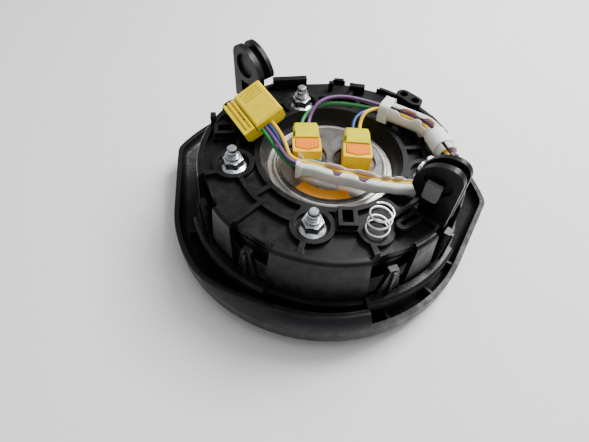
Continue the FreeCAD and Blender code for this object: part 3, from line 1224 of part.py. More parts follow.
def build_tube():
    body = new_body("tube")
    spine = tube_spine(body, "tube_spine")
    for kind, radius in (("AdditivePipe", "Sizes.tube_radius"),
                         ("SubtractivePipe", "Sizes.tube_radius - Sizes.tube_wall")):
        ring = end_sketch(body, "tube_" + kind.lower(), circles=[("0", TUBE_LEVEL, radius)])
        pipe = body.newObject("PartDesign::" + kind, "tube_" + kind)
        pipe.Profile = ring
        pipe.Spine = (spine, ["Edge1", "Edge2", "Edge3"])
    for number, (x, y) in enumerate([(41, 30.5), (47.5, 27.5)], 1):
        slot = flat_sketch(body, f"tube_slot_{number}", rectangle(x, y, "4.5", "1.8", leg_azimuth()),
                           f"{TUBE_LEVEL} + Sizes.tube_radius + 1")
        pocket(body, slot, "Sizes.tube_wall + 2")
    keep(body, "harness_tube")
    clip = new_body("clip")
    half = "(Sizes.tube_radius + Sizes.clip_wall)"
    band = end_sketch(clip, "clip_band", block(f"-{half}", half, f"{TUBE_LEVEL} - {half}", f"{TUBE_LEVEL} + {half}"))
    pad(clip, band, "Sizes.clip_length")
    soften(clip, "Fillet", "Sizes.tube_radius / 2", [
        (f"{x} + {half} * {across}", f"{y} + {half} * {along}", f"{TUBE_LEVEL} + {rise} * {half}")
        for x, y, across, along in ((31.3, 35, 0.42, 0.91), (31.3, 35, -0.42, -0.91)) for rise in (1, -1)])
    bore = end_sketch(clip, "clip_bore", circles=[("0", TUBE_LEVEL, "Sizes.tube_radius + Sizes.fastener_gap")])
    pocket(clip, bore, "Sizes.clip_length + 1", forward=True)
    keep(clip, "harness_clip")
    wrap = new_body("wrap")
    out = Vector(TUBE_END[0] - TUBE_CORNER[0], TUBE_END[1] - TUBE_CORNER[1], 0)
    turn = math.degrees(math.atan2(out.y, out.x)) + 360
    ring = facing_sketch(wrap, "wrap_ring", [], "360", "0")
    draw_circles(ring, [("0", "0", f"Sizes.tube_radius + Sizes.fastener_gap + {extra}")
                        for extra in ("0", "Sizes.wrap_thickness")])
    pad(wrap, ring, "Sizes.wrap_length")
    back = "(Sizes.wrap_length + Sizes.wrap_setback)"
    place(wrap, f"{TUBE_END[0]} - {back} * cos({turn:.3f})", f"{TUBE_END[1]} - {back} * sin({turn:.3f})",
          TUBE_LEVEL, f"{turn:.3f}")
    keep(wrap, "harness_wrap")
    plate = new_body("foot_plate")
    outline = flat_sketch(plate, "plate_outline", [
        ("61.1", "5.4"), ("63.9", "-0.7"), ("73.4", "0.1"), ("72.2", "4.8")], FACE)
    pad(plate, outline, "Sizes.foot_plate")
    keep(plate, "harness_foot_plate")


# wires
BUNDLE = [
    (-22, -16, 66), (-9, -16.8, 64.05), (1, -19.6, 64.05), (12, -20.8, 64.05), (23.5, -23.2, 64.05),
    (35, -23.6, 64.05), (45, -22.6, 64.2), (60, -20.5, 65), (67.5, -7, 66.8), (62.5, 4.5, 67.5),
    (54.5, 24.3, 67.5), (40, 31.4, 67.5), (27, 37, 67.5),
]
WIRES = [
    ("yellow", 1, 1, [(-35.23, 8.18, 71.51), (-30.08, 2.03, 70.77), (-25.4, -6.5, 69.5)],
     [(18.8, 31.2, 69.3), (15.5, 26.5, 68), (14.55, 20.8, 64.5), (14.9, 15.1, 64.5)]),
    ("blue", 1, -1, [(-36.9, 6.88, 70.61), (-31.75, 0.73, 69.87), (-26.6, -7.2, 66.9)],
     [(17.8, 34.4, 66.8), (12, 27.5, 66.5), (10.51, 21.34, 64.5), (10.91, 14.85, 64.5)]),
    ("purple", -1, 1, [(-38.57, 5.58, 69.72), (-33.42, -0.57, 68.98), (-28.6, -8.6, 69.1)],
     [(16, 39.6, 70), (5, 40, 71.2), (-5, 37, 71.6), (-12.3, 30.5, 70.6), (-15.87, 21.57, 64.5),
      (-14.86, 15.15, 64.5)]),
    ("green", -1, -1, [(-40.25, 4.28, 68.82), (-35.1, -1.87, 68.08), (-29.8, -9.3, 66.5)],
     [(16.5, 37.6, 66.8), (5, 38.2, 67.4), (-6.5, 36, 67.9), (-15, 29.8, 67.6), (-19.82, 20.95, 64.5),
      (-18.81, 14.53, 64.5)]),
]


def wire_route(side, level, start, stop):
    """A wire's points: from the plug to its place in the bundle and on to its squib plug."""
    half_pitch = value("Sizes.wire_pitch / 2")
    points = [Vector(*point) for point in start]
    for index, point in enumerate(BUNDLE):
        points.append(Vector(*point) + leftward(BUNDLE, index) * half_pitch * side
                      + Vector(0, 0, half_pitch * level))
    return points + [Vector(*point) for point in stop]


def rounded_path(name, points):
    """Straight runs joined by the largest tangent arcs that they allow."""
    edges = []
    radii = []
    here = points[0]
    for before, corner, after in zip(points, points[1:], points[2:]):
        into = (corner - before)
        out = (after - corner)
        reach = 0.45 * min(into.Length, out.Length)
        half_turn = into.getAngle(out) / 2
        radii.append(reach / math.tan(half_turn))
        into.normalize()
        out.normalize()
        first = corner - into * reach
        last = corner + out * reach
        inward = (out - into).normalize()
        middle = corner + inward * radii[-1] * (1 / math.cos(half_turn) - 1)
        edges.append(Part.LineSegment(here, first).toShape())
        edges.append(Part.Arc(first, middle, last).toShape())
        here = last
    edges.append(Part.LineSegment(here, points[-1]).toShape())
    runs = [(end - start).Length for start, end in zip(points, points[1:])]
    print(name, "radii", [round(radius, 1) for radius in radii], "runs", [round(run, 1) for run in runs])
    return Part.Wire(edges)


def build_wire(name, side, level, start, stop):
    points = wire_route(side, level, start, stop)
    path = rounded_path(name, points)
    radius = value("Sizes.wire_radius")
    ring = Part.Wire(Part.Circle(points[0], points[1] - points[0], radius).toShape())
    wire = doc.addObject("Part::Feature", "wire_" + name + "_tube")
    wire.Shape = path.makePipeShell([ring], True, False)
    print(name, "length", round(path.Length, 1), "volume",
          round(wire.Shape.Volume / (path.Length * math.pi * radius ** 2), 4))
    keep(wire, "wire_" + name)


# main plug
def lean(thing):
    """Puts a piece of the main plug where the plug lies."""
    thing.setExpression("Placement", "placement(vector(Sizes.main_x; Sizes.main_y; Sizes.main_z);"
                        " rotation(Sizes.main_yaw; Sizes.main_pitch; Sizes.main_roll))")


def build_main_plug():
    back, front = "-Sizes.main_length / 2", "Sizes.main_length / 2"
    left, right = "Sizes.main_width / 2", "-Sizes.main_width / 2"
    rail = f"{left} - Sizes.main_rail_width"
    shelf = "(Sizes.main_height - Sizes.main_shelf)"
    body = new_body("main_body")
    base = flat_sketch(body, "main_base", block(back, front, right, left), "-Sizes.main_height")
    pad(body, base, "Sizes.main_shelf")
    core = flat_sketch(body, "main_core", block(back, front, right, f"{rail} - Sizes.main_gap"), "-Sizes.main_height")
    pad(body, core, "Sizes.main_height - Sizes.main_cover_height")
    soften(body, "Chamfer", "Sizes.main_bevel", [
        ("0", right, "-Sizes.main_height"), ("0", left, "-Sizes.main_height")])
    for number in range(8):
        column, row = divmod(number, 2)
        y = f"{right} + 2.4 + {column} * Sizes.pin_pitch"
        z = f"-Sizes.main_height + 1.2 + {row} * 2.5"
        hole = facing_sketch(body, f"pin_hole_{number + 1}", block(y, f"{y} + 1.6", z, f"{z} + 1.6"), "360", front)
        pocket(body, hole, "8")
    lean(body)
    keep(body, "main_plug_body")
    cover = new_body("main_cover")
    sheet_top = flat_sketch(cover, "main_cover_outline", block(
        back, front, right, f"{right} + Sizes.main_cover_width"), "-Sizes.main_cover_height")
    pad(cover, sheet_top, "Sizes.main_cover_height")
    soften(cover, "Chamfer", "Sizes.main_cover_height / 3", [
        ("0", right, "0"), ("0", f"{right} + Sizes.main_cover_width", "0"), (back, f"{right} + 5", "0")])
    for number in range(4):
        x = f"{front} - 3 - {number} * 2"
        groove = flat_sketch(cover, f"grip_{number + 1}", block(
            x, f"{x} + 0.8", f"{right} + 3", f"{right} + Sizes.main_cover_width - 3"), "0")
        pocket(cover, groove, "0.5")
    lean(cover)
    keep(cover, "main_plug_cover")
    side = new_body("main_rail")
    bar = flat_sketch(side, "rail_outline", block(back, front, rail, left), f"-{shelf}")
    pad(side, bar, f"{shelf} - Sizes.rail_drop")
    for number, offset in enumerate(("1.3", "4.1"), 1):
        groove = flat_sketch(side, f"rail_groove_{number}", block(
            f"{back} + 2", f"{front} + 1", f"{rail} + {offset}", f"{rail} + {offset} + Sizes.rail_groove"),
            "-Sizes.rail_drop")
        pocket(side, groove, "Sizes.rail_groove")
    lean(side)
    keep(side, "main_plug_rail")
    latch = new_body("main_latch")
    outline = flat_sketch(latch, "latch_outline", block(
        "-3", "3", f"{rail} + 1.3", f"{rail} + 1.3 + Sizes.rail_groove"), "-Sizes.rail_drop - Sizes.rail_groove")
    pad(latch, outline, "Sizes.rail_groove - 0.3")
    lean(latch)
    keep(latch, "main_plug_latch")


build_cover()
build_housing()
build_fasteners()
build_inflator()
build_retainer()
build_bag()
for side in ("left", "right"):
    build_igniter(side)
    build_squib(side)
build_sticker()
for name in ("left", "front"):
    build_sleeve(name)
build_pad()
build_spring()
build_channel()
build_tube()
for wire in WIRES:
    build_wire(*wire)
build_main_plug()
doc.recompute()

faults = [thing.Name for thing in doc.Objects if "Invalid" in thing.State or "Error" in thing.State]
for thing in parts_made:
    if thing.Shape.isNull() or not thing.Shape.isValid() or not thing.Shape.Solids:
        faults.append(thing.Label)
    else:
        print(thing.Label, len(thing.Shape.Solids), round(thing.Shape.Volume, 1))
if faults:
    raise RuntimeError("these did not build: " + ", ".join(faults))
os.makedirs("parts", exist_ok=True)
for thing in parts_made:
    thing.Shape.exportStep(f"parts/{thing.Label}.step")
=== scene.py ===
"""Driver airbag module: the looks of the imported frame, in metres, with +Z up from the cover's face."""
import math
import bpy
from mathutils import Matrix, Vector


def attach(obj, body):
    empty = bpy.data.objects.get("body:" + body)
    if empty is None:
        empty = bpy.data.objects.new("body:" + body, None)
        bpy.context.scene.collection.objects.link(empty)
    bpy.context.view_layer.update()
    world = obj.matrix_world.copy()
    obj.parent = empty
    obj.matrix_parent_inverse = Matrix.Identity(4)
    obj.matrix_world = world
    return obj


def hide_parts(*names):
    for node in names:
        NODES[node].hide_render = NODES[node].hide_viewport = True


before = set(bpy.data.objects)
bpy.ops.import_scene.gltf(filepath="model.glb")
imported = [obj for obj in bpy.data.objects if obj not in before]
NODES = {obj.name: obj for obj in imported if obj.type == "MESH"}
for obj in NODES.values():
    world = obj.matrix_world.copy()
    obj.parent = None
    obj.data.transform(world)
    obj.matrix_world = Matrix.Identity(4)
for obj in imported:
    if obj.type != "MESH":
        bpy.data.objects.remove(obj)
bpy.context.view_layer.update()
MM = 0.001

# the photograph's camera, floor and light
CAMERA_PLACE = Vector((-4.1, -185.0, 228.6)) * MM
CAMERA_RIGHT = Vector((0.99157, 0.12433, 0.03669))
CAMERA_UP = Vector((-0.12009, 0.77440, 0.62112))
CAMERA_LENS = 26.53
SENSOR_WIDTH = 36
FLOOR_REACH = 4
FLOOR_COLOUR = (0.84, 0.84, 0.84)
FLOOR_ROUGHNESS = 0.75
SKY_COLOUR = (1.0, 1.0, 0.99)
SKY_STRENGTH = 0.46
# name, place in metres, side in metres and watts of each light
LIGHTS = [("window", (0.47, 0.45, 0.85), 0.5, 22), ("ceiling", (0.25, -0.10, 1.0), 0.6, 3)]
LIGHT_TARGET = Vector((0, 0, 0.03))


def add_object(name, data):
    piece = bpy.data.objects.new(name, data)
    bpy.context.scene.collection.objects.link(piece)
    return piece


def make_camera():
    data = bpy.data.cameras.new("camera")
    data.lens = CAMERA_LENS
    data.sensor_width = SENSOR_WIDTH
    data.clip_start = 0.01
    camera = add_object("camera", data)
    right = CAMERA_RIGHT.normalized()
    back = right.cross(CAMERA_UP).normalized()
    turn = Matrix((right, back.cross(right), back)).transposed()
    camera.matrix_world = Matrix.Translation(CAMERA_PLACE) @ turn.to_4x4()
    bpy.context.scene.camera = camera


def make_light(name, place, size, power):
    data = bpy.data.lights.new(name, "AREA")
    data.size = size
    data.energy = power
    light = add_object(name, data)
    light.location = place
    light.rotation_euler = (LIGHT_TARGET - Vector(place)).to_track_quat("-Z", "Y").to_euler()


def make_stage():
    """The pale floor, the even light from all round and the two soft lights."""
    mesh = bpy.data.meshes.new("floor")
    corners = [(x * FLOOR_REACH, y * FLOOR_REACH, 0) for x, y in ((-1, -1), (1, -1), (1, 1), (-1, 1))]
    mesh.from_pydata(corners, [], [(0, 1, 2, 3)])
    floor = add_object("floor", mesh)
    mesh.materials.append(Finish("floor_paper", FLOOR_COLOUR, FLOOR_ROUGHNESS).material)
    world = bpy.data.worlds.new("studio")
    world.use_nodes = True
    background = world.node_tree.nodes["Background"]
    background.inputs["Color"].default_value = (*SKY_COLOUR, 1)
    background.inputs["Strength"].default_value = SKY_STRENGTH
    bpy.context.scene.world = world
    for light in LIGHTS:
        make_light(*light)


# materials, with the sizes of their patterns in millimetres
PORTS = [(-14.8, 2), (13.7, 2)]
# distances from a port's middle at which the painted shade of its dished recess, a dark brown ring, ends and
# is full
PORT_SHADE_END = 13.8
PORT_SHADE_FULL = 10.5
# most of a noise lies between these
NOISE_LOW = 0.35
NOISE_HIGH = 0.65


class Finish:
    """A material under construction: its shader and the nodes that feed it."""

    def __init__(self, name, colour, roughness, metallic=0.0):
        self.material = bpy.data.materials.new(name)
        self.material.use_nodes = True
        self.nodes = self.material.node_tree.nodes
        self.links = self.material.node_tree.links
        self.shader = self.nodes["Principled BSDF"]
        self.colour = (*colour, 1)
        self.shader.inputs["Base Color"].default_value = self.colour
        self.shader.inputs["Roughness"].default_value = roughness
        self.shader.inputs["Metallic"].default_value = metallic
        self.place = self.nodes.new("ShaderNodeTexCoord").outputs["Object"]
        self.normal = None
        self.material.diffuse_color = self.colour

    def set(self, **sockets):
        for name, number in sockets.items():
            self.shader.inputs[name.replace("_", " ")].default_value = number
        return self

    def node(self, kind, **values):
        node = self.nodes.new("ShaderNode" + kind)
        for name, value in values.items():
            if name in node.inputs:
                node.inputs[name].default_value = value
            else:
                setattr(node, name, value)
        return node

    def texture(self, kind, **values):
        """A texture that is fixed to the piece's own coordinates."""
        node = self.node("Tex" + kind, **values)
        self.links.new(self.place, node.inputs["Vector"])
        return node

    def noise(self, size_mm, detail=3.0):
        """Cloudy noise whose features are about that many millimetres across."""
        return self.texture("Noise", Scale=1000 / size_mm, Detail=detail).outputs["Fac"]

    def remap(self, source, low, high, out_low=0.0, out_high=1.0):
        node = self.node("MapRange")
        limits = {"From Min": low, "From Max": high, "To Min": out_low, "To Max": out_high}
        for name, number in limits.items():
            node.inputs[name].default_value = number
        self.links.new(source, node.inputs["Value"])
        return node.outputs["Result"]

    def tint(self, mask, colour):
        """Blends towards another colour where the mask is high."""
        mix = self.node("Mix", data_type="RGBA")
        self.links.new(mask, mix.inputs["Factor"])
        feed = self.shader.inputs["Base Color"]
        if feed.is_linked:
            self.links.new(feed.links[0].from_socket, mix.inputs["A"])
        else:
            mix.inputs["A"].default_value = self.colour
        mix.inputs["B"].default_value = (*colour, 1)
        self.links.new(mix.outputs["Result"], feed)
        return self

    def patches(self, size_mm, detail, low, high, colour):
        """Soft patches of another colour: none where the noise is under low, full where it is over high."""
        return self.tint(self.remap(self.noise(size_mm, detail), low, high), colour)

    def uneven(self, size_mm, low, high):
        """Roughness that varies softly over the surface."""
        rough = self.remap(self.noise(size_mm), NOISE_LOW, NOISE_HIGH, low, high)
        self.links.new(rough, self.shader.inputs["Roughness"])
        return self

    def polish(self, mask, share):
        """Brings the roughness down to a share of itself where the mask is high."""
        feed = self.shader.inputs["Roughness"]
        self.links.new(self.product(feed.links[0].from_socket, self.remap(mask, 0, 1, 1, share)), feed)
        return self

    def bump(self, height, depth_mm, mask=None):
        node = self.node("Bump", Distance=depth_mm * MM)
        if mask is not None:
            self.links.new(mask, node.inputs["Strength"])
        self.links.new(height, node.inputs["Height"])
        if self.normal is not None:
            self.links.new(self.normal, node.inputs["Normal"])
        self.normal = node.outputs["Normal"]
        self.links.new(self.normal, self.shader.inputs["Normal"])
        return self

    def soft_edges(self, radius_mm):
        """Catches light along the edges, as a moulding's small radii do."""
        node = self.node("Bevel", samples=4)
        node.inputs["Radius"].default_value = radius_mm * MM
        self.normal = node.outputs["Normal"]
        self.links.new(self.normal, self.shader.inputs["Normal"])
        return self

    def height_above(self, low_mm, high_mm):
        """A mask that rises from 0 to 1 between two heights."""
        split = self.node("SeparateXYZ")
        self.links.new(self.place, split.inputs["Vector"])
        return self.remap(split.outputs["Z"], low_mm * MM, high_mm * MM)

    def away_from(self, x_mm, y_mm):
        """The distance from an upright axis, in metres."""
        flat = self.node("VectorMath", operation="MULTIPLY")
        self.links.new(self.place, flat.inputs[0])
        flat.inputs[1].default_value = (1, 1, 0)
        shift = self.node("VectorMath", operation="SUBTRACT")
        self.links.new(flat.outputs["Vector"], shift.inputs[0])
        shift.inputs[1].default_value = (x_mm * MM, y_mm * MM, 0)
        length = self.node("VectorMath", operation="LENGTH")
        self.links.new(shift.outputs["Vector"], length.inputs[0])
        return length.outputs["Value"]

    def beyond(self, low_mm, high_mm):
        """A mask that rises from 0 to 1 between two distances from the object's axis."""
        return self.remap(self.away_from(0, 0), low_mm * MM, high_mm * MM)

    def product(self, one, other):
        node = self.node("Math", operation="MULTIPLY")
        self.links.new(one, node.inputs[0])
        self.links.new(other, node.inputs[1])
        return node.outputs["Value"]


def black_moulding(name, colour, roughness):
    """Injection-moulded plastic with a fine eroded skin and a little dust."""
    finish = Finish(name, colour, roughness).soft_edges(0.35).set(Specular_IOR_Level=0.2)
    dust = 0.006
    finish.patches(9, 5, 0.45, 0.75, tuple(channel + dust for channel in colour))
    finish.uneven(5, roughness - 0.08, roughness + 0.1)
    finish.bump(finish.noise(0.35, 2), 0.02)
    return finish


def cover_finish():
    """Grained and a little paler on the outer rim, and shinier on the hooks and the top of the inner wall."""
    finish = black_moulding("cover_skin", (0.0036, 0.0036, 0.004), 0.40)
    grain_mm = 0.9
    grain = finish.texture("Voronoi", Scale=1000 / grain_mm, feature="SMOOTH_F1")
    finish.bump(grain.outputs["Distance"], 0.12, finish.beyond(86, 89))
    finish.tint(finish.beyond(84, 90), (0.010, 0.0105, 0.012))
    high_up = finish.height_above(29, 31)
    within_rim = finish.remap(finish.beyond(81, 82), 1, 0)
    finish.polish(finish.product(high_up, within_rim), 0.6)
    return finish.material


def zinc_finish():
    finish = Finish("blue_zinc", (0.66, 0.69, 0.74), 0.26, 1.0).soft_edges(0.2)
    finish.patches(3, 4, 0.5, 0.75, (0.50, 0.50, 0.52))
    finish.uneven(1.5, 0.18, 0.36)
    finish.bump(finish.noise(0.4, 3), 0.015)
    return finish.material


def steel_finish(name, colour, shade, metallic=1.0):
    """Drawn steel with soft stains and a faint turning grain."""
    finish = Finish(name, colour, 0.3, metallic)
    finish.patches(16, 3, 0.45, 0.8, shade)
    rings = finish.texture("Wave", wave_type="RINGS", rings_direction="Z", Scale=700.0, Distortion=1.5)
    finish.uneven(6, 0.26, 0.36)
    finish.bump(rings.outputs["Fac"], 0.0015)
    return finish


def closure_finish():
    """The pressed closure, with painted shade: a dark brown ring round each of its two ports stands for the
    shade in the dished recess there.
    """
    finish = steel_finish("closure_steel", (0.27, 0.26, 0.255), (0.22, 0.20, 0.18), 0.85)
    for x, y in PORTS:
        ring = finish.remap(finish.away_from(x, y), PORT_SHADE_END * MM, PORT_SHADE_FULL * MM)
        cloud = finish.remap(finish.noise(7, 4), 0.3, 0.55)
        # painted shade: a dark brown ring for the dished recess round the port
        finish.tint(finish.product(ring, cloud), (0.13, 0.085, 0.055))
    return finish.material


def bright_plastic(name, colour, shade, roughness=0.36, inside=0.12):
    """Coloured plastic that lets a little light in."""
    finish = Finish(name, colour, roughness).soft_edges(0.3)
    finish.patches(6, 4, 0.45, 0.8, shade)
    finish.set(Subsurface_Weight=inside, Subsurface_Scale=0.002, Specular_IOR_Level=0.16)
    finish.uneven(3, roughness - 0.06, roughness + 0.1)
    finish.bump(finish.noise(0.5, 2), 0.008)
    return finish.material


def milky_plastic(name, colour, clear):
    """Unpigmented plastic that lets light through and shows what lies in it dimly."""
    finish = Finish(name, colour, 0.34).soft_edges(0.25)
    finish.set(Subsurface_Weight=0.35, Subsurface_Scale=0.003, Transmission_Weight=clear, IOR=1.46)
    finish.patches(7, 4, 0.5, 0.85, tuple(0.86 * channel for channel in colour))
    finish.uneven(3, 0.28, 0.44)
    return finish.material


def wire_finish(name, colour):
    finish = Finish(name, colour, 0.38)
    finish.patches(5, 3, 0.45, 0.8, tuple(0.72 * channel for channel in colour))
    finish.uneven(2, 0.3, 0.48)
    finish.bump(finish.noise(0.8, 2), 0.01)
    return finish.material


def sticker_finish():
    finish = Finish("bare_sticker", (0.66, 0.26, 0.008), 0.45)
    finish.patches(4, 5, 0.5, 0.8, (0.55, 0.19, 0.006))
    finish.bump(finish.noise(1.2, 3), 0.02)
    return finish.material


def cloth_finish():
    finish = Finish("bag_cloth", (0.72, 0.72, 0.70), 0.85)
    weave = finish.texture("Wave", Scale=1600.0, bands_direction="DIAGONAL")
    finish.bump(weave.outputs["Fac"], 0.05)
    finish.patches(3, 3, 0.4, 0.8, (0.62, 0.62, 0.60))
    return finish.material


def rubber_finish():
    finish = Finish("grey_rubber", (0.125, 0.12, 0.13), 0.7).soft_edges(0.5)
    finish.patches(2, 4, 0.4, 0.8, (0.09, 0.088, 0.092))
    finish.bump(finish.noise(0.4, 3), 0.03)
    return finish.material


def dress_nodes():
    """Gives every CAD node that stays its finish."""
    pale = bright_plastic("pale_yellow", (0.80, 0.62, 0.010), (0.70, 0.48, 0.006), 0.4)
    yellow = bright_plastic("bright_yellow", (0.92, 0.56, 0.001), (0.80, 0.42, 0.001))
    housing = black_moulding("housing_moulding", (0.0038, 0.0038, 0.0043), 0.38).material
    zinc = zinc_finish()
    finishes = {
        "cover": cover_finish(),
        "housing": housing,
        "guide_sleeve_left": housing,
        "guide_sleeve_front": housing,
        "mounting_studs": zinc,
        "flange_nuts": zinc,
        "flange_bolt": zinc,
        "retainer_ring": zinc,
        "horn_spring": steel_finish("spring_steel", (0.78, 0.78, 0.77), (0.62, 0.61, 0.60)).material,
        "inflator_can": steel_finish("can_steel", (0.86, 0.84, 0.80), (0.70, 0.66, 0.60), 0.8).material,
        "inflator_closure": closure_finish(),
        "igniter_left": black_moulding("igniter_collar", (0.006, 0.006, 0.006), 0.5).material,
        "inflator_sticker": sticker_finish(),
        "airbag_cushion": cloth_finish(),
        "squib_plug_left": yellow,
        "squib_plug_right": yellow,
        "squib_cap_left": bright_plastic("lime_yellow", (0.66, 0.60, 0.001), (0.56, 0.48, 0.001)),
        "squib_lock_left": bright_plastic("orange_lock", (0.90, 0.24, 0.004), (0.84, 0.18, 0.004)),
        "coding_key": bright_plastic("teal_key", (0.08, 0.42, 0.40), (0.05, 0.32, 0.32)),
        "main_plug_body": pale,
        "main_plug_cover": pale,
        "main_plug_rail": pale,
        "main_plug_latch": bright_plastic("brown_latch", (0.40, 0.17, 0.01), (0.28, 0.11, 0.01)),
        "harness_foot_plate": milky_plastic("milky_white", (0.84, 0.83, 0.79), 0.10),
        "harness_wrap": bright_plastic("white_sleeve", (0.90, 0.90, 0.88), (0.82, 0.82, 0.81), 0.5),
        "rubber_pad": rubber_finish(),
    }
    for twin in ("igniter", "squib_cap", "squib_lock"):
        finishes[twin + "_right"] = finishes[twin + "_left"]
    for name, material in finishes.items():
        slots = NODES[name].data.materials
        slots.clear()
        slots.append(material)


# wires, with their points, pitch and lengths in millimetres
WIRE_DIAMETER = 2.2 * MM
WIRE_PITCH = 2.3
WIRE_COLOURS = {
    "green": (0.006, 0.20, 0.04),
    "purple": (0.13, 0.05, 0.17),
    "blue": (0.012, 0.045, 0.22),
    "yellow": (0.82, 0.50, 0.012),
}
# middle line of the bundle, from the channel's mouth to the tube's far end
BUNDLE = [
    (-22, -16, 66), (-9, -16.8, 64.05), (1, -19.6, 64.05), (12, -20.8, 64.05), (23.5, -23.2, 64.05),
    (35, -23.6, 64.05), (45, -22.6, 64.2), (60, -20.5, 65), (67.5, -7, 66.8), (62.5, 4.5, 67.5),
    (54.5, 24.3, 67.5), (40, 31.4, 67.5), (27, 37, 67.5),
]
# colour, side and level in the bundle, points from the main plug, points to the squib plug, and length
WIRES = [
    ("yellow", 1, 1, [(-35.23, 8.18, 71.51), (-30.08, 2.03, 70.77), (-25.4, -6.5, 69.5)],
     [(18.8, 31.2, 69.3), (15.5, 26.5, 68), (14.55, 20.8, 64.5), (14.9, 15.1, 64.5)], 210),
    ("blue", 1, -1, [(-36.9, 6.88, 70.61), (-31.75, 0.73, 69.87), (-26.6, -7.2, 66.9)],
     [(17.8, 34.4, 66.8), (12, 27.5, 66.5), (10.51, 21.34, 64.5), (10.91, 14.85, 64.5)], 214),
    ("purple", -1, 1, [(-38.57, 5.58, 69.72), (-33.42, -0.57, 68.98), (-28.6, -8.6, 69.1)],
     [(16, 39.6, 70), (5, 40, 71.2), (-5, 37, 71.6), (-12.3, 30.5, 70.6), (-15.87, 21.57, 64.5),
      (-14.86, 15.15, 64.5)], 251),
    ("green", -1, -1, [(-40.25, 4.28, 68.82), (-35.1, -1.87, 68.08), (-29.8, -9.3, 66.5)],
     [(16.5, 37.6, 66.8), (5, 38.2, 67.4), (-6.5, 36, 67.9), (-15, 29.8, 67.6), (-19.82, 20.95, 64.5),
      (-18.81, 14.53, 64.5)], 253),
]


def leftward(line, index):
    """The direction square to a line at one of its points, longer at a bend so that the width stays."""
    before = Vector((*line[max(index - 1, 0)][:2], 0))
    here = Vector((*line[index][:2], 0))
    after = Vector((*line[min(index + 1, len(line) - 1)][:2], 0))
    ways = [end - start for start, end in ((before, here), (here, after)) if (end - start).length > 0]
    ways = [Vector((-way.y, way.x, 0)).normalized() for way in ways]
    middle = (ways[0] + ways[-1]).normalized()
    return middle / middle.dot(ways[0])


def wire_route(side, level, start, stop):
    """A wire's points: from the plug to its place in the bundle and on to its squib plug."""
    points = [Vector(point) for point in start]
    for index, point in enumerate(BUNDLE):
        across = leftward(BUNDLE, index) * side + Vector((0, 0, level))
        points.append(Vector(point) + across * WIRE_PITCH / 2)
    return points + [Vector(point) for point in stop]


def make_wire(colour, side, level, start, stop, length_mm):
    """An insulated wire whose spline starts at the squib plug and ends in the main plug."""
    points = wire_route(side, level, start, stop)[::-1]
    data = bpy.data.curves.new(f"{colour}_wire", "CURVE")
    data.dimensions = "3D"
    data.bevel_depth = WIRE_DIAMETER / 2
    data.bevel_resolution = 5
    data.resolution_u = 10
    data.use_fill_caps = True
    spline = data.splines.new("NURBS")
    spline.points.add(len(points) - 1)
    for spot, point in zip(spline.points, points):
        spot.co = (*(point * MM), 1)
    spline.order_u = 3
    spline.use_endpoint_u = True
    wire = add_object(f"{colour}_wire", data)
    data.materials.append(wire_finish(f"{colour}_insulation", WIRE_COLOURS[colour]))
    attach(wire, "module")
    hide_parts("wire_" + colour)


# wire channel, tube and clip, moulded thin enough to show the wires in them, in millimetres and degrees
STATION_STEP = 0.8
WALL = 0.8
# the channel: spots along it are a distance from its mouth and half a length
CHANNEL_LINE = [(-18, -16.4), (-9, -16.8), (1, -19.6), (12, -20.8), (23.5, -23.2), (35, -23.6), (45, -22.6)]
CHANNEL_BEND = 30
CHANNEL_HALF = 3.2
CHANNEL_FRONT = 0.6
CHANNEL_FLOOR = 61.4
CHANNEL_TOP = 66.5
CHANNEL_LOBES = [(20, 6.5), (37, 8), (48.5, 3), (55, 3.6)]
CHANNEL_NOTCHES = [(22.5, 3), (36.5, 3.4)]
MOUTH_LENGTH = 3
MOUTH_FLARE = 1.4
MOUTH_RISE = 2.6
MOUTH_DROP = 0.8
# within this radius of the axis the channel hangs lower, into the well over the inflator
WELL_EDGE = 38
WELL_SLOPE = 4
WELL_DROP = 1.5
# the tube and its slit, whose angles count up from the left of the tube over its top
TUBE_LINE = [(27, 37), (54.5, 24.3), (63.5, 2)]
TUBE_BEND = 18
TUBE_LEVEL = 67.5
TUBE_RADIUS = 5.2
TUBE_SIDES = 32
TUBE_SLITS = [(17, 6.5), (31, 5)]
SLIT_MIDDLE = 115
SLIT_HALF = 8
SLIT_WIDENING = 26
# the clip: its split is at the bottom, between the end and the start of its sweep
CLIP_LENGTH = 7
CLIP_HALF = 6.1
CLIP_WALL = 0.9
CLIP_SIDES = 36
CLIP_START = -84
CLIP_SWEEP = 348
CLIP_SQUARENESS = 6


def eased(t):
    """Runs from 0 to 1 with soft ends as t does."""
    return t * t * (3 - 2 * t)


def hump(along, spots):
    """1 in the middle of each spot and 0 beyond it, with soft shoulders."""
    height = 0
    for middle, half in spots:
        t = max(0, 1 - abs(along - middle) / half)
        height = max(height, min(1, 2 * eased(t)))
    return height


def walk(line, step):
    """Even steps along a line: each place, the direction to its left and the distance from the start."""
    places = []
    travelled = 0
    for start, end in zip(line, line[1:]):
        run = end - start
        count = max(1, round(run.length / step))
        side = Vector((-run.y, run.x, 0)).normalized()
        for number in range(count):
            part = number / count
            places.append((start + run * part, side, travelled + run.length * part))
        travelled += run.length
    places.append((line[-1], side, travelled))
    smoothed = []
    window = 3
    for index, (place, side, distance) in enumerate(places):
        near = places[max(0, index - window):index + window + 1]
        mean = sum((item[1] for item in near), Vector((0, 0, 0))).normalized()
        smoothed.append((place, mean, distance))
    return smoothed


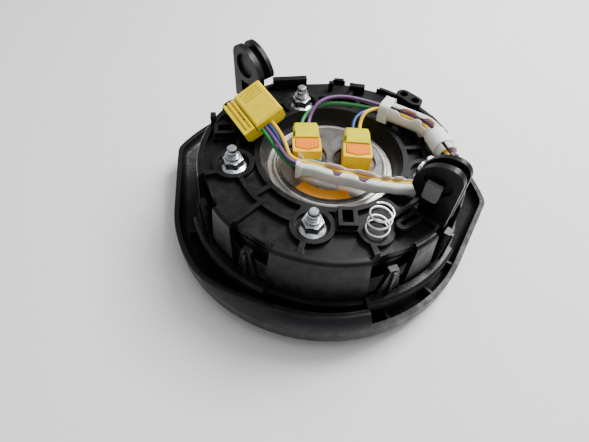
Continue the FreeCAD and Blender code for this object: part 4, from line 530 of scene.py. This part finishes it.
def rounded(line, radius):
    """A line whose corners are turned into curves, each on at most 0.45 of the runs beside it."""
    points = [Vector((*line[0], 0))]
    steps = 6
    for before, corner, after in zip(line, line[1:], line[2:]):
        before, corner, after = (Vector((*point, 0)) for point in (before, corner, after))
        into = (corner - before).normalized()
        out = (after - corner).normalized()
        half_turn = into.angle(out) / 2
        shorter = min(0.45 * (corner - before).length, 0.45 * (after - corner).length)
        reach = min(radius * math.tan(half_turn), shorter)
        for number in range(steps + 1):
            t = number / steps
            points.append((corner - into * reach) * (1 - t) ** 2 + corner * 2 * t * (1 - t)
                          + (corner + out * reach) * t ** 2)
    points.append(Vector((*line[-1], 0)))
    return points


def upright_row(place, side, section):
    """A section's corners, each a distance to the left and a height, set square to the line at a place."""
    return [(*(place + side * across).xy, level) for across, level in section]


def swept_wall(name, stations, thickness_mm, material, node):
    """A thin moulded wall through rows of points, one row to a station, that stands for a CAD node."""
    mesh = bpy.data.meshes.new(name)
    width = len(stations[0])
    corners = [Vector(point) * MM for row in stations for point in row]
    faces = []
    for row in range(len(stations) - 1):
        for column in range(width - 1):
            first = row * width + column
            faces.append((first, first + 1, first + width + 1, first + width))
    mesh.from_pydata(corners, [], faces)
    wall = add_object(name, mesh)
    mesh.polygons.foreach_set("use_smooth", [True] * len(mesh.polygons))
    solidify = wall.modifiers.new("thickness", "SOLIDIFY")
    solidify.thickness = thickness_mm * MM
    solidify.offset = 0
    wall.modifiers.new("rounding", "SUBSURF").levels = 1
    mesh.materials.append(material)
    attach(wall, "module")
    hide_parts(node)


def make_channel():
    """The tray that carries the wires: its front edge folds over them, its back edge stands up in lobes."""
    stations = []
    for place, side, along in walk(rounded(CHANNEL_LINE, CHANNEL_BEND), STATION_STEP):
        lobe = hump(along, CHANNEL_LOBES)
        fold = 1 - hump(along, CHANNEL_NOTCHES)
        mouth = min(1, max(0, MOUTH_LENGTH - along))
        half = CHANNEL_HALF + MOUTH_FLARE * mouth
        front = half + CHANNEL_FRONT
        top = CHANNEL_TOP + MOUTH_RISE * mouth
        over_well = min(1, max(0, (WELL_EDGE - place.length) / WELL_SLOPE))
        low = CHANNEL_FLOOR - WELL_DROP * over_well - MOUTH_DROP * mouth
        folded_edge = [(-front + 3.3 * fold, top + 0.5 * fold), (-front + 1.4 * fold, top + 0.5 * fold)]
        front_wall = [(-front + 0.3, top), (-front, top - 1), (-front, low + 1.2)]
        floor = [(-front + 0.7, low), (0, low), (half - 0.7, low)]
        back_wall = [(half, low + 1.2), (half, top - 1), (half - 0.1, top)]
        lobed_edge = [(half - 0.4 * lobe, top + 1.4 * lobe), (half - 1.5 * lobe, top + 2.8 * lobe)]
        stations.append(upright_row(place, side, folded_edge + front_wall + floor + back_wall + lobed_edge))
    plastic = milky_plastic("channel_plastic", (0.86, 0.85, 0.80), 0.12)
    swept_wall("milky_channel", stations, WALL, plastic, "harness_channel")


def make_tube():
    """The tube behind the right tower, slit along its top, a little to the front, so that the wires show."""
    stations = []
    for place, side, along in walk(rounded(TUBE_LINE, TUBE_BEND), STATION_STEP):
        opening = math.radians(SLIT_HALF + SLIT_WIDENING * hump(along, TUBE_SLITS))
        start = math.radians(SLIT_MIDDLE) + opening
        section = []
        for number in range(TUBE_SIDES + 1):
            angle = start + (2 * math.pi - 2 * opening) * number / TUBE_SIDES
            section.append((TUBE_RADIUS * math.cos(angle), TUBE_LEVEL + TUBE_RADIUS * math.sin(angle)))
        stations.append(upright_row(place, side, section))
    plastic = milky_plastic("tube_plastic", (0.84, 0.84, 0.81), 0.30)
    swept_wall("milky_tube", stations, WALL, plastic, "harness_tube")


def make_clip():
    """The squarish strap round the tube's start, split underneath."""
    stations = []
    for place, side, along in walk(rounded(TUBE_LINE, TUBE_BEND), STATION_STEP):
        if along > CLIP_LENGTH:
            break
        section = []
        for number in range(CLIP_SIDES + 1):
            angle = math.radians(CLIP_START + CLIP_SWEEP * number / CLIP_SIDES)
            cosine = math.cos(angle)
            sine = math.sin(angle)
            reach = CLIP_HALF / (cosine ** CLIP_SQUARENESS + sine ** CLIP_SQUARENESS) ** (1 / CLIP_SQUARENESS)
            section.append((reach * cosine, TUBE_LEVEL + reach * sine))
        stations.append(upright_row(place, side, section))
    plastic = milky_plastic("clip_plastic", (0.88, 0.88, 0.86), 0.10)
    swept_wall("milky_clip", stations, CLIP_WALL, plastic, "harness_clip")


# lip of the cover, which starts low at the left, rises to the front and ends square at the right
RIM_CENTRE_X = -2.8
RIM_RADIUS = 91.6
RIM_LEVEL = 21
LIP_ROOT = 3
LIP_FOOT = 0.2
LIP_RISE = 8.7
LIP_LEAN = 4.6
LIP_WALL = 3.1
LIP_EDGE = 0.5
LIP_STEPS = 48
# azimuths in degrees
LIP_START = 220
LIP_FULL = 256
LIP_END = 291.6


def closed_sweep(name, rings, edge_mm, material):
    """A solid through rings of points, with a face over each end and its edges rounded."""
    mesh = bpy.data.meshes.new(name)
    width = len(rings[0])
    corners = [Vector(point) * MM for ring in rings for point in ring]
    faces = [tuple(range(width))[::-1], tuple(len(corners) - width + spot for spot in range(width))]
    for row in range(len(rings) - 1):
        for column in range(width):
            first = row * width + column
            after = row * width + (column + 1) % width
            faces.append((first, after, after + width, first + width))
    mesh.from_pydata(corners, [], faces)
    piece = add_object(name, mesh)
    bevel = piece.modifiers.new("edges", "BEVEL")
    bevel.width = edge_mm * MM
    bevel.segments = 2
    mesh.polygons.foreach_set("use_smooth", [True] * len(mesh.polygons))
    mesh.materials.append(material)
    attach(piece, "module")
    return piece


def make_lip():
    """The leaning lip along the front of the cover's rim, over the shorter one of the cover's node."""
    rings = []
    for step in range(LIP_STEPS + 1):
        azimuth = LIP_START + (LIP_END - LIP_START) * step / LIP_STEPS
        share = eased(min(1, (azimuth - LIP_START) / (LIP_FULL - LIP_START)))
        top = RIM_LEVEL + LIP_FOOT + LIP_RISE * share
        reach = RIM_RADIUS - LIP_LEAN * share
        section = [(RIM_RADIUS - 0.5, RIM_LEVEL - LIP_ROOT), (RIM_RADIUS - 0.1, RIM_LEVEL), (reach, top),
                   (reach - LIP_WALL, top - 0.4), (RIM_RADIUS - LIP_WALL - 0.2, RIM_LEVEL - LIP_ROOT)]
        across = Vector((math.cos(math.radians(azimuth)), math.sin(math.radians(azimuth))))
        rings.append([(RIM_CENTRE_X + across.x * radius, across.y * radius, level)
                      for radius, level in section])
    lip = closed_sweep("cover_lip", rings, LIP_EDGE, NODES["cover"].data.materials[0])


make_camera()
make_stage()
dress_nodes()
make_lip()
make_channel()
make_tube()
make_clip()
for wire in WIRES:
    make_wire(*wire)
